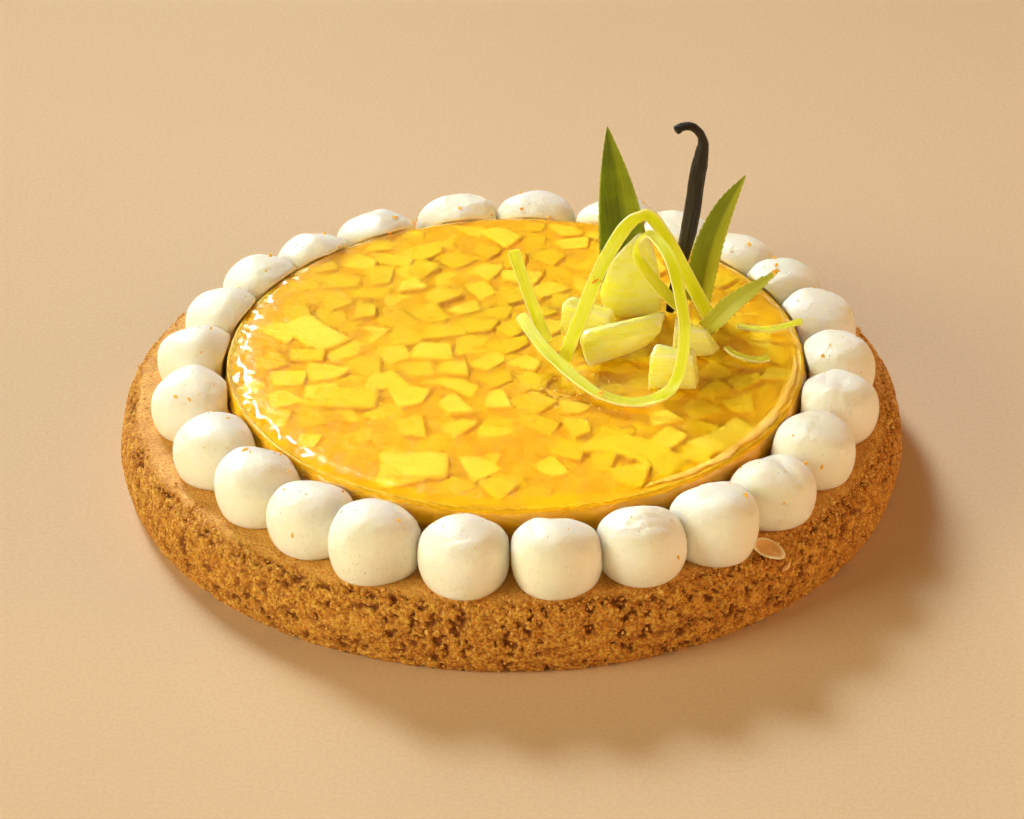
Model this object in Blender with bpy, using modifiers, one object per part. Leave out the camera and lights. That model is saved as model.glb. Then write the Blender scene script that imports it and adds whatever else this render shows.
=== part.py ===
"""Fruit tart: a crumbly biscuit base, a disc of set jelly, a ring of piped creams and a heap of garnish.

Metres, +Z up, with the origin at the middle of the biscuit's underside. +X is the right of the tart
and -Y its front. The jelly and the creams were set down a little in front of the biscuit's middle.
"""
import math

import bmesh
import bpy
import numpy as np
from mathutils import Vector, noise

# Gap kept between pieces that touch
GAP = 0.0003

# Biscuit base
CRUST_RADIUS = 0.1200
CRUST_TOP = 0.0238
CRUST_FOOT_RADIUS = 0.1168
CRUST_FLAT_RADIUS = 0.1065
CRUST_WIDEST_HEIGHT = 0.0105
CRUST_EDGE_ROUND = 0.0075
CRUST_EDGE_SET_BACK = 0.0010
CRUST_LOW_SIDE = (0.0008, 0.0050)
CRUST_FOOT_ROUND = (0.0012, 0.0015)
CRUST_STEPS = 108
CRAG_DEPTH = 0.0013
CRAG_SCALE = 95.0
CRAG_SEED = 1.0
CRAG_START_RADIUS = 0.1105
CRAG_FADE = 0.0050
CRAG_CALM_DEGREES = 6.0
CRAG_EDGE_BAND = 0.0040
CRAG_EDGE_SINK = 0.6

# Jelly disc
JELLY_CENTRE = Vector((0.0013, -0.0022, 0.0))
JELLY_RADIUS = 0.0890
JELLY_TOP = 0.0395
JELLY_FOOT_RADIUS = 0.0874
JELLY_EDGE_ROUND = 0.0062
JELLY_FLAT_RADII = (0.0450, 0.0740)
JELLY_STEPS = 72
JELLY_WAVE = 0.0004
JELLY_WAVE_SCALE = 55.0
JELLY_WAVE_SEED = 2.0
JELLY_RIM_START = 0.0800
JELLY_RIM_FADE = 0.0050
JELLY_RIM_WAVE = 0.006

# Piped creams
CREAM_COUNT = 25
CREAM_FIRST_AZIMUTH = 275.7
CREAM_DRIFT = (0.7, 0.8, -0.3, -0.2, 0.4, 0.9, 1.0, 1.6, -0.4, -1.0, -2.0, -3.6, -2.8,
               -2.0, 0.0, 0.6, -0.6, -1.4, -2.0, -0.9, 1.0, 0.9, 0.2, -0.9, 0.0)
CREAM_SHIFT = (0.0012, 0.0011, 0.0016, 0.0008, -0.0010, -0.0006, -0.0010, 0.0, -0.0008, -0.0008,
               0.0, 0.0, 0.0, -0.0005, -0.0028, -0.0040, -0.0018, -0.0022, -0.0012, -0.0008,
               -0.0014, -0.0018, -0.0008, 0.0010, 0.0010)
CREAM_SIZE = {1: 1.05, 2: 1.03, 3: 1.05, 4: 0.93, 24: 1.08, 25: 1.05}
CREAM_RING_CENTRE = Vector((0.0013, -0.0055, 0.0))
CREAM_RING_RADIUS = 0.0972
CREAM_HEIGHT = 0.0176
CREAM_WIDEST_HEIGHT = 0.0068
CREAM_HALF_WIDTH = 0.0135
CREAM_OUTER_REACH = 0.0136
CREAM_TAIL_REACH = 0.0150
CREAM_UNDERCUT = 0.12
CREAM_PRESS = 16.0
CREAM_SIZE_SPREAD = 0.015
CREAM_LEAN = 0.0014
CREAM_RIPPLE = 0.03
CREAM_SWELLS = 3
CREAM_TAPER = 0.42
CREAM_TAIL_DROP = 0.30
CREAM_TAIL_SQUEEZE = 0.0006
CREAM_SEGMENTS = 16
CREAM_RINGS = 9
CREASED_CREAM = 4
CREASE_DEPTH = 0.0011
CREASE_WIDTH = 0.0016
CREASE_OFFSET = 0.0030
CREASE_SLANT = 0.25

# Garnish
GARNISH_FLOOR = JELLY_TOP + 2 * GAP
CHUNK_EDGE = 0.0009
STRIP_THICKNESS = 0.0011
STRIP_DISH = 0.00035
STRIP_FACING = (0.0, -0.85, 0.53)
LEAF_THICKNESS = 0.0007
LEAF_NOTCH = 0.0003
LEAF_ROWS = 15
POD_SECTIONS = 34
POD_SIDES_RESOLUTION = 2
POD_GIRTH_AT = (0.0, 0.12, 0.28, 0.45, 0.56, 0.66, 0.9, 0.96, 1.0)
POD_GIRTH = (0.0014, 0.0019, 0.0027, 0.00275, 0.0021, 0.0014, 0.00135, 0.0016, 0.0014)
POD_WRINKLE = 0.05
POD_WRINKLE_STEP = 2.1
ALMOND_MIDDLE = (0.0734, -0.0914, 0.0244)
ALMOND_HALF_LENGTH = 0.0052
ALMOND_HALF_WIDTH = 0.0038
ALMOND_THICKNESS = 0.0008
ALMOND_POINT = 0.35
ALMOND_TURN_DEGREES = -38.0
ALMOND_TILT = 0.20

COLOURS = {
    "biscuit": (0.42, 0.20, 0.06),
    "jelly": (0.95, 0.62, 0.04),
    "cream": (0.90, 0.86, 0.72),
    "pineapple": (0.95, 0.80, 0.28),
    "leaf": (0.16, 0.24, 0.04),
    "pod": (0.035, 0.02, 0.015),
    "zest": (0.70, 0.80, 0.10),
    "almond": (0.72, 0.48, 0.22),
}
ROUGHNESS = {
    "biscuit": 0.9, "jelly": 0.08, "cream": 0.42, "pineapple": 0.3,
    "leaf": 0.45, "pod": 0.35, "zest": 0.4, "almond": 0.6,
}


def clear_scene():
    for old in list(bpy.data.objects):
        bpy.data.objects.remove(old, do_unlink=True)


def food_material(name, kind):
    """A plain material in the colour and roughness of one kind of food."""
    material = bpy.data.materials.new(name)
    material.use_nodes = True
    shader = material.node_tree.nodes["Principled BSDF"]
    shader.inputs["Base Color"].default_value = (*COLOURS[kind], 1.0)
    shader.inputs["Roughness"].default_value = ROUGHNESS[kind]
    shader.inputs["Metallic"].default_value = 0.0
    return material


def add_object(collection, name, data, kind):
    piece = bpy.data.objects.new(name, data)
    data.materials.append(food_material(name + "_finish", kind))
    collection.objects.link(piece)
    return piece


def settle(piece):
    """Give a piece the mesh that its modifiers make, with its doubles merged, and drop the modifiers."""
    bpy.context.view_layer.update()
    graph = bpy.context.evaluated_depsgraph_get()
    mesh = bpy.data.meshes.new_from_object(piece.evaluated_get(graph))
    work = bmesh.new()
    work.from_mesh(mesh)
    bmesh.ops.remove_doubles(work, verts=work.verts, dist=0.00001)
    work.to_mesh(mesh)
    work.free()
    piece.modifiers.clear()
    piece.data = mesh


def points_of(mesh):
    flat = np.empty(len(mesh.vertices) * 3)
    mesh.vertices.foreach_get("co", flat)
    return flat.reshape(-1, 3)


def move_points(mesh, points):
    mesh.vertices.foreach_set("co", points.ravel())
    mesh.update()


def arc(centre_r, centre_z, radius, start, end, count):
    """Points (r, z) on an arc, from one angle to another in degrees, 90 being the top."""
    angles = np.radians(np.linspace(start, end, count))
    return [(centre_r + radius * math.cos(a), centre_z + radius * math.sin(a)) for a in angles]


def turned(collection, name, kind, profile, steps):
    """A solid turned about Z from a profile that runs from its top's middle down to its foot's middle."""
    mesh = bpy.data.meshes.new(name)
    mesh.from_pydata([(r, 0.0, z) for r, z in profile], [(i, i + 1) for i in range(len(profile) - 1)], [])
    piece = add_object(collection, name, mesh, kind)
    screw = piece.modifiers.new("turn", "SCREW")
    screw.steps = steps
    screw.render_steps = steps
    screw.use_merge_vertices = True
    screw.merge_threshold = 0.00005
    screw.use_smooth_shade = True
    settle(piece)
    return piece


def unevenness(points, scale, seed):
    """Smooth noise between -1 and 1 at each point, from two sizes of lump."""
    shift = Vector((seed * 7.3, seed * 3.1, seed * 5.7))
    return np.array([
        0.65 * noise.noise(Vector(p) * scale + shift) + 0.35 * noise.noise(Vector(p) * scale * 2.3 - shift)
        for p in points])


def build_crust(collection):
    """The biscuit: a low disc with a rounded upper edge, its side and rim rough with crags."""
    edge_r = CRUST_RADIUS - CRUST_EDGE_SET_BACK - CRUST_EDGE_ROUND
    edge_z = CRUST_TOP - CRUST_EDGE_ROUND
    profile = [(0.0, CRUST_TOP), (CRUST_FLAT_RADIUS, CRUST_TOP)]
    profile += arc(edge_r, edge_z, CRUST_EDGE_ROUND, 90, 8, 5)
    profile += [
        (CRUST_RADIUS, CRUST_WIDEST_HEIGHT),
        (CRUST_RADIUS - CRUST_LOW_SIDE[0], CRUST_LOW_SIDE[1]),
        (CRUST_FOOT_RADIUS + CRUST_FOOT_ROUND[0], CRUST_FOOT_ROUND[1]),
        (CRUST_FOOT_RADIUS, 0.0),
        (0.0, 0.0)]
    crust = turned(collection, "crust", "biscuit", profile, CRUST_STEPS)

    points = points_of(crust.data)
    radius = np.hypot(points[:, 0], points[:, 1])
    azimuth = np.arctan2(points[:, 1], points[:, 0])
    crag = CRAG_DEPTH * (0.5 + 0.9 * unevenness(points, CRAG_SCALE, CRAG_SEED)).clip(0.0, 1.2)
    on_side = np.clip((radius - CRAG_START_RADIUS) / CRAG_FADE, 0.0, 1.0)
    quarters = azimuth / (math.pi / 2)
    from_quarter = 90.0 * np.abs(quarters - np.round(quarters))
    inward = crag * on_side * np.clip(from_quarter / CRAG_CALM_DEGREES, 0.0, 1.0)
    scale = np.where(radius > 0, (radius - inward) / np.maximum(radius, 1e-6), 1.0)
    points[:, :2] *= scale[:, None]
    points[:, 2] -= np.where(points[:, 2] > CRUST_TOP - CRAG_EDGE_BAND, inward * CRAG_EDGE_SINK, 0.0)
    move_points(crust.data, points)
    return crust


def build_jelly(collection):
    """The set jelly: a disc with a full round shoulder, its top and rim a little uneven."""
    shoulder_r = JELLY_RADIUS - JELLY_EDGE_ROUND
    shoulder_z = JELLY_TOP - JELLY_EDGE_ROUND
    profile = [(0.0, JELLY_TOP)] + [(radius, JELLY_TOP) for radius in JELLY_FLAT_RADII]
    profile += arc(shoulder_r, shoulder_z, JELLY_EDGE_ROUND, 90, 0, 5)
    profile += [(JELLY_FOOT_RADIUS, CRUST_TOP + GAP), (0.0, CRUST_TOP + GAP)]
    jelly = turned(collection, "jelly", "jelly", profile, JELLY_STEPS)

    points = points_of(jelly.data)
    radius = np.hypot(points[:, 0], points[:, 1])
    lump = 0.5 + 0.5 * unevenness(points, JELLY_WAVE_SCALE, JELLY_WAVE_SEED)
    upper = np.clip((points[:, 2] - shoulder_z) / JELLY_EDGE_ROUND, 0.0, 1.0)
    outer = np.clip((radius - JELLY_RIM_START) / JELLY_RIM_FADE, 0.0, 1.0)
    points[:, 2] -= JELLY_WAVE * lump * upper
    points[:, :2] *= (1.0 - JELLY_RIM_WAVE * lump * outer)[:, None]
    points += np.array(JELLY_CENTRE)
    move_points(jelly.data, points)
    return jelly


def cream_azimuths():
    """Where each dollop is piped: evenly spaced round the jelly, each off by its own drift."""
    spacing = 360.0 / CREAM_COUNT
    return [CREAM_FIRST_AZIMUTH + spacing * k + CREAM_DRIFT[k] for k in range(CREAM_COUNT)]


def soft_limit(value, limit):
    """Value, held smoothly under a limit of the same sign."""
    ratio = np.abs(value) / limit
    return value / (1.0 + ratio ** CREAM_PRESS) ** (1.0 / CREAM_PRESS)


def jelly_wall(height):
    """The jelly's radius at each height: upright, then round at its shoulder."""
    above = np.clip(height - (JELLY_TOP - JELLY_EDGE_ROUND), 0.0, JELLY_EDGE_ROUND)
    return JELLY_RADIUS - JELLY_EDGE_ROUND + np.sqrt(JELLY_EDGE_ROUND ** 2 - above ** 2)


def cream_profile(turn):
    """Reach (0 to 1) and height (in metres) down a dollop's side, turn running from crown 0 to base 1."""
    waist, foot = 0.60, 0.86
    dome = np.clip(turn / waist, 0.0, 1.0) * math.pi / 2
    tuck = np.clip((turn - waist) / (foot - waist), 0.0, 1.0)
    under = np.clip((turn - foot) / (1.0 - foot), 0.0, 1.0)
    reach = np.sin(dome) ** 0.86 * (1.0 - CREAM_UNDERCUT * tuck ** 2) * (1.0 - under)
    height = CREAM_WIDEST_HEIGHT + (CREAM_HEIGHT - CREAM_WIDEST_HEIGHT) * np.cos(dome) ** 0.80
    height = np.where(turn > waist, CREAM_WIDEST_HEIGHT * (1.0 - tuck), height)
    return reach, height


def cream_points(directions, half_angles, shift, manner, creased):
    """One dollop's points, out along and across its own line from the ring's centre, from a unit sphere's.

    It is round outside and narrows to a lower tail that reaches in to the jelly. Its neighbours press it
    flat along the planes half way to them. Its manner is its size, its lean and where its outline swells.
    """
    size, lean, swell = manner
    turn = np.arccos(np.clip(directions[:, 2], -1.0, 1.0)) / math.pi
    spread = np.maximum(np.hypot(directions[:, 0], directions[:, 1]), 1e-6)
    cosine = directions[:, 0] / spread
    sine = directions[:, 1] / spread
    reach, height = cream_profile(turn)
    reach = reach * (1.0 + CREAM_RIPPLE * np.cos(CREAM_SWELLS * np.arctan2(sine, cosine) + swell))
    along = reach * cosine * np.where(cosine > 0, CREAM_OUTER_REACH * size, CREAM_TAIL_REACH)
    tail = np.clip(-along / CREAM_TAIL_REACH, 0.0, 1.0)
    across = reach * sine * CREAM_HALF_WIDTH * (1.0 - CREAM_TAPER * tail ** 1.6)
    height = height * size * (1.0 - CREAM_TAIL_DROP * tail ** 1.5)
    crown = np.clip(height / CREAM_HEIGHT, 0.0, 1.0) ** 2
    across = across + lean * crown
    if creased:
        crease = across - CREASE_OFFSET + CREASE_SLANT * along
        height = height - CREASE_DEPTH * crown * np.exp(-(crease / CREASE_WIDTH) ** 2)
    distance = CREAM_RING_RADIUS + shift + along
    left = distance * math.tan(half_angles[1]) - GAP / 2
    right = distance * math.tan(half_angles[0]) - GAP / 2
    across = soft_limit(across, np.where(across > 0, left, right))
    return np.stack([distance, across, CRUST_TOP + GAP + height], axis=1)


def turned_about_ring(local, azimuth):
    """Points along and across a line from the ring's centre, turned to that line's azimuth in degrees."""
    heading = math.radians(azimuth)
    return np.stack([
        local[:, 0] * math.cos(heading) - local[:, 1] * math.sin(heading) + CREAM_RING_CENTRE.x,
        local[:, 0] * math.sin(heading) + local[:, 1] * math.cos(heading) + CREAM_RING_CENTRE.y,
        local[:, 2]], axis=1)


def pressed_on_jelly(points):
    """Points held clear of the jelly: what would reach into it is squeezed flat against its side."""
    out = points[:, :2] - np.array(JELLY_CENTRE)[:2]
    distance = np.linalg.norm(out, axis=1)
    wall = jelly_wall(points[:, 2]) + GAP
    held = wall + CREAM_TAIL_SQUEEZE * np.logaddexp(0.0, (distance - wall) / CREAM_TAIL_SQUEEZE)
    pressed = points.copy()
    pressed[:, :2] = np.array(JELLY_CENTRE)[:2] + out * (held / distance)[:, None]
    return pressed


def build_cream(collection, k, azimuths, chance):
    manner = (CREAM_SIZE.get(k + 1, 1.0) + CREAM_SIZE_SPREAD * chance.uniform(-1.0, 1.0),
              CREAM_LEAN * chance.uniform(-1.0, 1.0), chance.uniform(0.0, 2.0 * math.pi))
    gap_before = (azimuths[k] - azimuths[k - 1]) % 360.0
    gap_after = (azimuths[(k + 1) % CREAM_COUNT] - azimuths[k]) % 360.0
    half_angles = (math.radians(gap_before / 2), math.radians(gap_after / 2))
    creased = k + 1 == CREASED_CREAM
    finer = 2 if creased else 0

    name = "cream_%02d" % (k + 1)
    mesh = bpy.data.meshes.new(name)
    ball = bmesh.new()
    bmesh.ops.create_uvsphere(
        ball, u_segments=CREAM_SEGMENTS + 3 * finer, v_segments=CREAM_RINGS + finer, radius=1.0)
    ball.to_mesh(mesh)
    ball.free()

    local = cream_points(points_of(mesh), half_angles, CREAM_SHIFT[k], manner, creased)
    move_points(mesh, pressed_on_jelly(turned_about_ring(local, azimuths[k])))
    mesh.shade_smooth()
    return add_object(collection, name, mesh, "cream")


def build_creams(collection):
    azimuths = cream_azimuths()
    chance = np.random.default_rng(25)
    return [build_cream(collection, k, azimuths, chance) for k in range(CREAM_COUNT)]


def build_chunk(collection, name, sections):
    """A cut piece of fruit, lofted through four-cornered sections from its underside up, edges softened."""
    mesh = bpy.data.meshes.new(name)
    work = bmesh.new()
    rings = [[work.verts.new(corner) for corner in section] for section in sections]
    work.faces.new(rings[0][::-1])
    work.faces.new(rings[-1])
    for lower, upper in zip(rings, rings[1:]):
        for i in range(4):
            work.faces.new((lower[i], lower[(i + 1) % 4], upper[(i + 1) % 4], upper[i]))
    work.to_mesh(mesh)
    work.free()
    chunk = add_object(collection, name, mesh, "pineapple")
    bevel = chunk.modifiers.new("soft_edges", "BEVEL")
    bevel.width = CHUNK_EDGE
    bevel.segments = 2
    bevel.limit_method = "NONE"
    return chunk


def build_chunks(collection):
    """The pineapple pieces heaped on the jelly. Corners run anticlockwise seen from above."""
    floor = GARNISH_FLOOR
    build_chunk(collection, "pineapple_front_wedge", [
        [(0.0224, -0.0169, floor), (0.0400, -0.0062, 0.0411),
         (0.0450, -0.0020, 0.0425), (0.0235, -0.0060, floor)],
        [(0.0201, -0.0097, 0.0455), (0.0450, -0.0072, 0.0470),
         (0.0470, -0.0012, 0.0495), (0.0215, -0.0045, 0.0455)],
        [(0.0211, -0.0085, 0.0481), (0.0468, -0.0022, 0.0522),
         (0.0468, -0.0008, 0.0518), (0.0218, -0.0050, 0.0480)]])
    build_chunk(collection, "pineapple_front_cube", [
        [(0.0402, -0.0275, floor), (0.0552, -0.0292, floor),
         (0.0568, -0.0235, floor), (0.0420, -0.0190, floor)],
        [(0.0408, -0.0268, 0.0515), (0.0538, -0.0285, 0.0518),
         (0.0550, -0.0222, 0.0510), (0.0428, -0.0200, 0.0518)]])
    build_chunk(collection, "pineapple_right_wedge", [
        [(0.0480, -0.0105, floor), (0.0612, -0.0085, floor),
         (0.0640, -0.0045, floor), (0.0500, 0.0010, floor)],
        [(0.0490, -0.0062, 0.0492), (0.0585, -0.0066, 0.0476),
         (0.0592, -0.0040, 0.0470), (0.0495, -0.0005, 0.0498)]])
    build_chunk(collection, "pineapple_left_block", [
        [(0.0146, 0.0032, floor), (0.0310, -0.0015, floor),
         (0.0330, 0.0085, floor), (0.0165, 0.0120, floor)],
        [(0.0152, 0.0056, 0.0518), (0.0300, 0.0022, 0.0478),
         (0.0318, 0.0085, 0.0470), (0.0185, 0.0112, 0.0508)]])
    build_chunk(collection, "pineapple_back_wedge", [
        [(0.0288, 0.0140, floor), (0.0462, 0.0140, floor),
         (0.0455, 0.0235, floor), (0.0305, 0.0235, floor)],
        [(0.0264, 0.0152, 0.0478), (0.0470, 0.0150, 0.0478),
         (0.0460, 0.0235, 0.0472), (0.0288, 0.0235, 0.0472)],
        [(0.0302, 0.0166, 0.0590), (0.0454, 0.0163, 0.0572),
         (0.0444, 0.0228, 0.0562), (0.0316, 0.0228, 0.0580)],
        [(0.0390, 0.0178, 0.0688), (0.0422, 0.0178, 0.0682),
         (0.0418, 0.0212, 0.0665), (0.0393, 0.0212, 0.0670)]])


def smooth_path(points, count):
    """A smooth curve through the points, read at even steps: Catmull-Rom, one span for each pair."""
    knots = [2 * points[0] - points[1]] + points + [2 * points[-1] - points[-2]]
    spans = len(points) - 1
    path = []
    for step in np.linspace(0.0, spans, count):
        i = min(int(step), spans - 1)
        t = step - i
        a, b, c, d = knots[i:i + 4]
        path.append(0.5 * (2 * b + (c - a) * t + (2 * a - 5 * b + 4 * c - d) * t * t
                           + (3 * b - a - 3 * c + d) * t ** 3))
    return np.array(path)


def sheet_solid(collection, name, kind, grid, thickness):
    """A thin solid over a grid of points, its faces cut into triangles before it is thickened."""
    rows, columns = grid.shape[:2]
    mesh = bpy.data.meshes.new(name)
    index = np.arange(rows * columns).reshape(rows, columns)
    quads = np.stack([index[:-1, :-1], index[:-1, 1:], index[1:, 1:], index[1:, :-1]], axis=-1)
    mesh.from_pydata(grid.reshape(-1, 3).tolist(), [], quads.reshape(-1, 4).tolist())
    work = bmesh.new()
    work.from_mesh(mesh)
    bmesh.ops.remove_doubles(work, verts=work.verts, dist=0.00002)
    bmesh.ops.triangulate(work, faces=work.faces)
    work.to_mesh(mesh)
    work.free()
    sheet = add_object(collection, name, mesh, kind)
    solid = sheet.modifiers.new("thickness", "SOLIDIFY")
    solid.thickness = thickness
    solid.offset = 0.0
    return sheet


def frames_along(path, twists, facing):
    """Sideways and outward directions along a path, turned about it by the twists in degrees."""
    ahead = np.gradient(path, axis=0)
    ahead /= np.linalg.norm(ahead, axis=1)[:, None]
    side = np.cross(ahead, facing)
    side /= np.linalg.norm(side, axis=1)[:, None]
    outward = np.cross(side, ahead)
    angle = np.radians(twists)[:, None]
    return side * np.cos(angle) + outward * np.sin(angle), outward * np.cos(angle) - side * np.sin(angle)


def build_strip(collection, name, route, width, count):
    """A cut strip of peel: a shallow gutter along a smooth route of (x, y, z, twist) points."""
    route = np.array(route)
    route[:, 3] *= 0.001
    path = smooth_path(list(route), count)
    twists = path[:, 3] * 1000.0
    path = path[:, :3]
    side, outward = frames_along(path, twists, np.array(STRIP_FACING))
    across = np.array([-1.0, 0.0, 1.0])
    taper = np.clip(np.minimum(np.arange(count), np.arange(count)[::-1]) / 1.5 + 0.72, 0.0, 1.0)
    offset = 0.5 * width * taper[:, None, None] * across[None, :, None] * side[:, None, :]
    dish = -STRIP_DISH * (1.0 - np.abs(across))[None, :, None] * outward[:, None, :]
    return sheet_solid(collection, name, "zest", path[:, None, :] + offset + dish, STRIP_THICKNESS)


def build_strips(collection):
    """Five strips of peel. Each point is x, y, z in metres and the strip's twist there in degrees."""
    build_strip(collection, "peel_upright", [
        (0.0011, 0.0116, 0.0660, 0), (0.0046, 0.0078, 0.0560, 6), (0.0085, 0.0030, 0.0460, 4),
        (0.0112, -0.0010, 0.0410, 0)], 0.0038, 13)
    build_strip(collection, "peel_loop", [
        (0.0030, 0.0000, 0.0500, 0), (0.0089, -0.0123, 0.0470, 10), (0.0148, -0.0200, 0.0445, 20),
        (0.0206, -0.0272, 0.0427, 34), (0.0264, -0.0326, 0.0414, 44), (0.0350, -0.0364, 0.0409, 44),
        (0.0434, -0.0372, 0.0430, 34), (0.0488, -0.0362, 0.0484, 14), (0.0510, -0.0330, 0.0602, 0),
        (0.0504, -0.0280, 0.0677, -6), (0.0474, -0.0170, 0.0776, -14), (0.0425, -0.0055, 0.0796, -46),
        (0.0395, -0.0010, 0.0765, -74), (0.0384, 0.0025, 0.0700, -46), (0.0400, 0.0050, 0.0640, -14),
        (0.0436, 0.0080, 0.0570, 0), (0.0482, 0.0104, 0.0500, 0), (0.0522, 0.0122, 0.0450, 0)], 0.0036, 48)
    build_strip(collection, "peel_arch", [
        (0.0160, -0.0122, 0.0410, 0), (0.0178, -0.0122, 0.0472, 0), (0.0208, -0.0110, 0.0547, 0),
        (0.0268, -0.0068, 0.0692, 0), (0.0336, -0.0023, 0.0798, -12), (0.0385, 0.0012, 0.0825, -52),
        (0.0425, 0.0032, 0.0812, -40), (0.0486, 0.0060, 0.0695, -10), (0.0560, 0.0090, 0.0530, 0),
        (0.0612, 0.0115, 0.0410, 0)], 0.0043, 36)
    build_strip(collection, "peel_sprig", [
        (0.0690, 0.0085, 0.0408, 60), (0.0740, 0.0066, 0.0408, 50), (0.0790, 0.0059, 0.0408, 40),
        (0.0840, 0.0062, 0.0420, 24), (0.0886, 0.0060, 0.0438, 10)], 0.0020, 15)
    build_strip(collection, "peel_curl", [
        (0.0650, -0.0042, 0.0407, 50), (0.0672, -0.0080, 0.0407, 50), (0.0712, -0.0112, 0.0407, 56),
        (0.0746, -0.0120, 0.0407, 50), (0.0776, -0.0115, 0.0410, 40)], 0.0022, 15)


def build_leaf(collection, name, spine, width, fold, facing):
    """A crown leaf: a folded blade along a smooth spine, widest a third of the way up, its edges toothed."""
    path = smooth_path([np.array(point) for point in spine], LEAF_ROWS)
    side, outward = frames_along(path, np.zeros(LEAF_ROWS), np.array(facing))
    t = np.linspace(0.0, 1.0, LEAF_ROWS)
    half = 0.5 * width * np.clip(0.80 + 0.62 * t - 1.42 * t ** 2.4, 0.0, None) + 0.0002 * t
    across = np.array([-1.0, -0.5, 0.0, 0.5, 1.0])
    toothed = (np.arange(LEAF_ROWS) % 2) * (t < 0.97)
    teeth = LEAF_NOTCH * toothed[:, None] * (np.abs(across) > 0.9)[None, :]
    reach = half[:, None] * across[None, :] - np.sign(across)[None, :] * teeth
    raised = fold * half[:, None] * np.abs(across)[None, :] ** 1.3
    blade = reach[:, :, None] * side[:, None, :] + raised[:, :, None] * outward[:, None, :]
    return sheet_solid(collection, name, "leaf", path[:, None, :] + blade, LEAF_THICKNESS)


def build_leaves(collection):
    """Three leaves from a pineapple's crown."""
    build_leaf(collection, "leaf_tall", [
        (0.0362, 0.0285, GARNISH_FLOOR + 0.0006), (0.0350, 0.0278, 0.0520), (0.0338, 0.0268, 0.0660),
        (0.0318, 0.0255, 0.0830), (0.0296, 0.0240, 0.1010)], 0.0166, 0.30, (0.1, -1.0, 0.1))
    build_leaf(collection, "leaf_right", [
        (0.0580, 0.0245, GARNISH_FLOOR + 0.0008), (0.0592, 0.0250, 0.0500), (0.0617, 0.0250, 0.0620),
        (0.0660, 0.0245, 0.0740), (0.0714, 0.0235, 0.0845)], 0.0100, 0.38, (-0.25, -1.0, 0.2))
    build_leaf(collection, "leaf_low", [
        (0.0591, 0.0030, 0.0430), (0.0631, 0.0032, 0.0473), (0.0672, 0.0036, 0.0516),
        (0.0738, 0.0042, 0.0566), (0.0811, 0.0052, 0.0619)], 0.0068, 0.32, (0.3, -0.75, 0.7))


def build_pod(collection):
    """The vanilla pod: a stem that swells and thins as it rises, with a hooked end."""
    route = [np.array(point) for point in (
        (0.0491, 0.0190, GARNISH_FLOOR + 0.0002), (0.0508, 0.0190, 0.0510), (0.0529, 0.0190, 0.0610),
        (0.0549, 0.0190, 0.0727), (0.0565, 0.0194, 0.0860), (0.0577, 0.0199, 0.0930),
        (0.0582, 0.0200, 0.0972), (0.0573, 0.0200, 0.1006), (0.0547, 0.0199, 0.1030),
        (0.0517, 0.0193, 0.1032), (0.0497, 0.0187, 0.1020))]
    path = smooth_path(route, POD_SECTIONS)
    reach = np.interp(np.linspace(0.0, 1.0, POD_SECTIONS), POD_GIRTH_AT, POD_GIRTH)
    reach = reach * (1.0 + POD_WRINKLE * np.sin(np.arange(POD_SECTIONS) * POD_WRINKLE_STEP))

    curve = bpy.data.curves.new("vanilla_pod", "CURVE")
    curve.dimensions = "3D"
    curve.bevel_depth = 1.0
    curve.bevel_resolution = POD_SIDES_RESOLUTION
    curve.use_fill_caps = True
    spline = curve.splines.new("POLY")
    spline.points.add(POD_SECTIONS - 1)
    for point, place, radius in zip(spline.points, path, reach):
        point.co = (*place, 1.0)
        point.radius = radius
    return add_object(collection, "vanilla_pod", curve, "pod")


def build_almond_flake(collection):
    """A thin almond flake on the biscuit's rim, in the notch between the third and fourth dollops."""
    middle = Vector(ALMOND_MIDDLE)
    mesh = bpy.data.meshes.new("almond_flake")
    work = bmesh.new()
    bmesh.ops.create_cone(work, cap_ends=True, segments=20, radius1=1.0, radius2=0.86, depth=1.0)
    work.to_mesh(mesh)
    work.free()
    points = points_of(mesh)
    points[:, 1] *= ALMOND_HALF_WIDTH * (1.0 - ALMOND_POINT * np.clip(points[:, 0], 0.0, 1.0))
    points[:, 0] *= ALMOND_HALF_LENGTH
    points[:, 2] *= ALMOND_THICKNESS
    turn = math.radians(ALMOND_TURN_DEGREES)
    x = points[:, 0] * math.cos(turn) - points[:, 1] * math.sin(turn)
    y = points[:, 0] * math.sin(turn) + points[:, 1] * math.cos(turn)
    outward = (x * middle.x + y * middle.y) / math.hypot(middle.x, middle.y)
    placed = np.stack([x + middle.x, y + middle.y, points[:, 2] - ALMOND_TILT * outward + middle.z], axis=1)
    move_points(mesh, placed)
    return add_object(collection, "almond_flake", mesh, "almond")


def main():
    clear_scene()
    collection = bpy.data.collections.new("fruit_tart")
    bpy.context.scene.collection.children.link(collection)
    build_crust(collection)
    build_jelly(collection)
    build_creams(collection)
    build_chunks(collection)
    build_strips(collection)
    build_leaves(collection)
    build_pod(collection)
    build_almond_flake(collection)


main()
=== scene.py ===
"""Looks of a fruit tart: crumbly biscuit, clear jelly over diced fruit, piped creams and a standing garnish.

Metres, +Z up, in the frame of the solid model. Each surface is a grid of points worked out as whole arrays.
"""
import itertools
import math

import bpy
import numpy as np
from mathutils import Matrix, Vector


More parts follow.
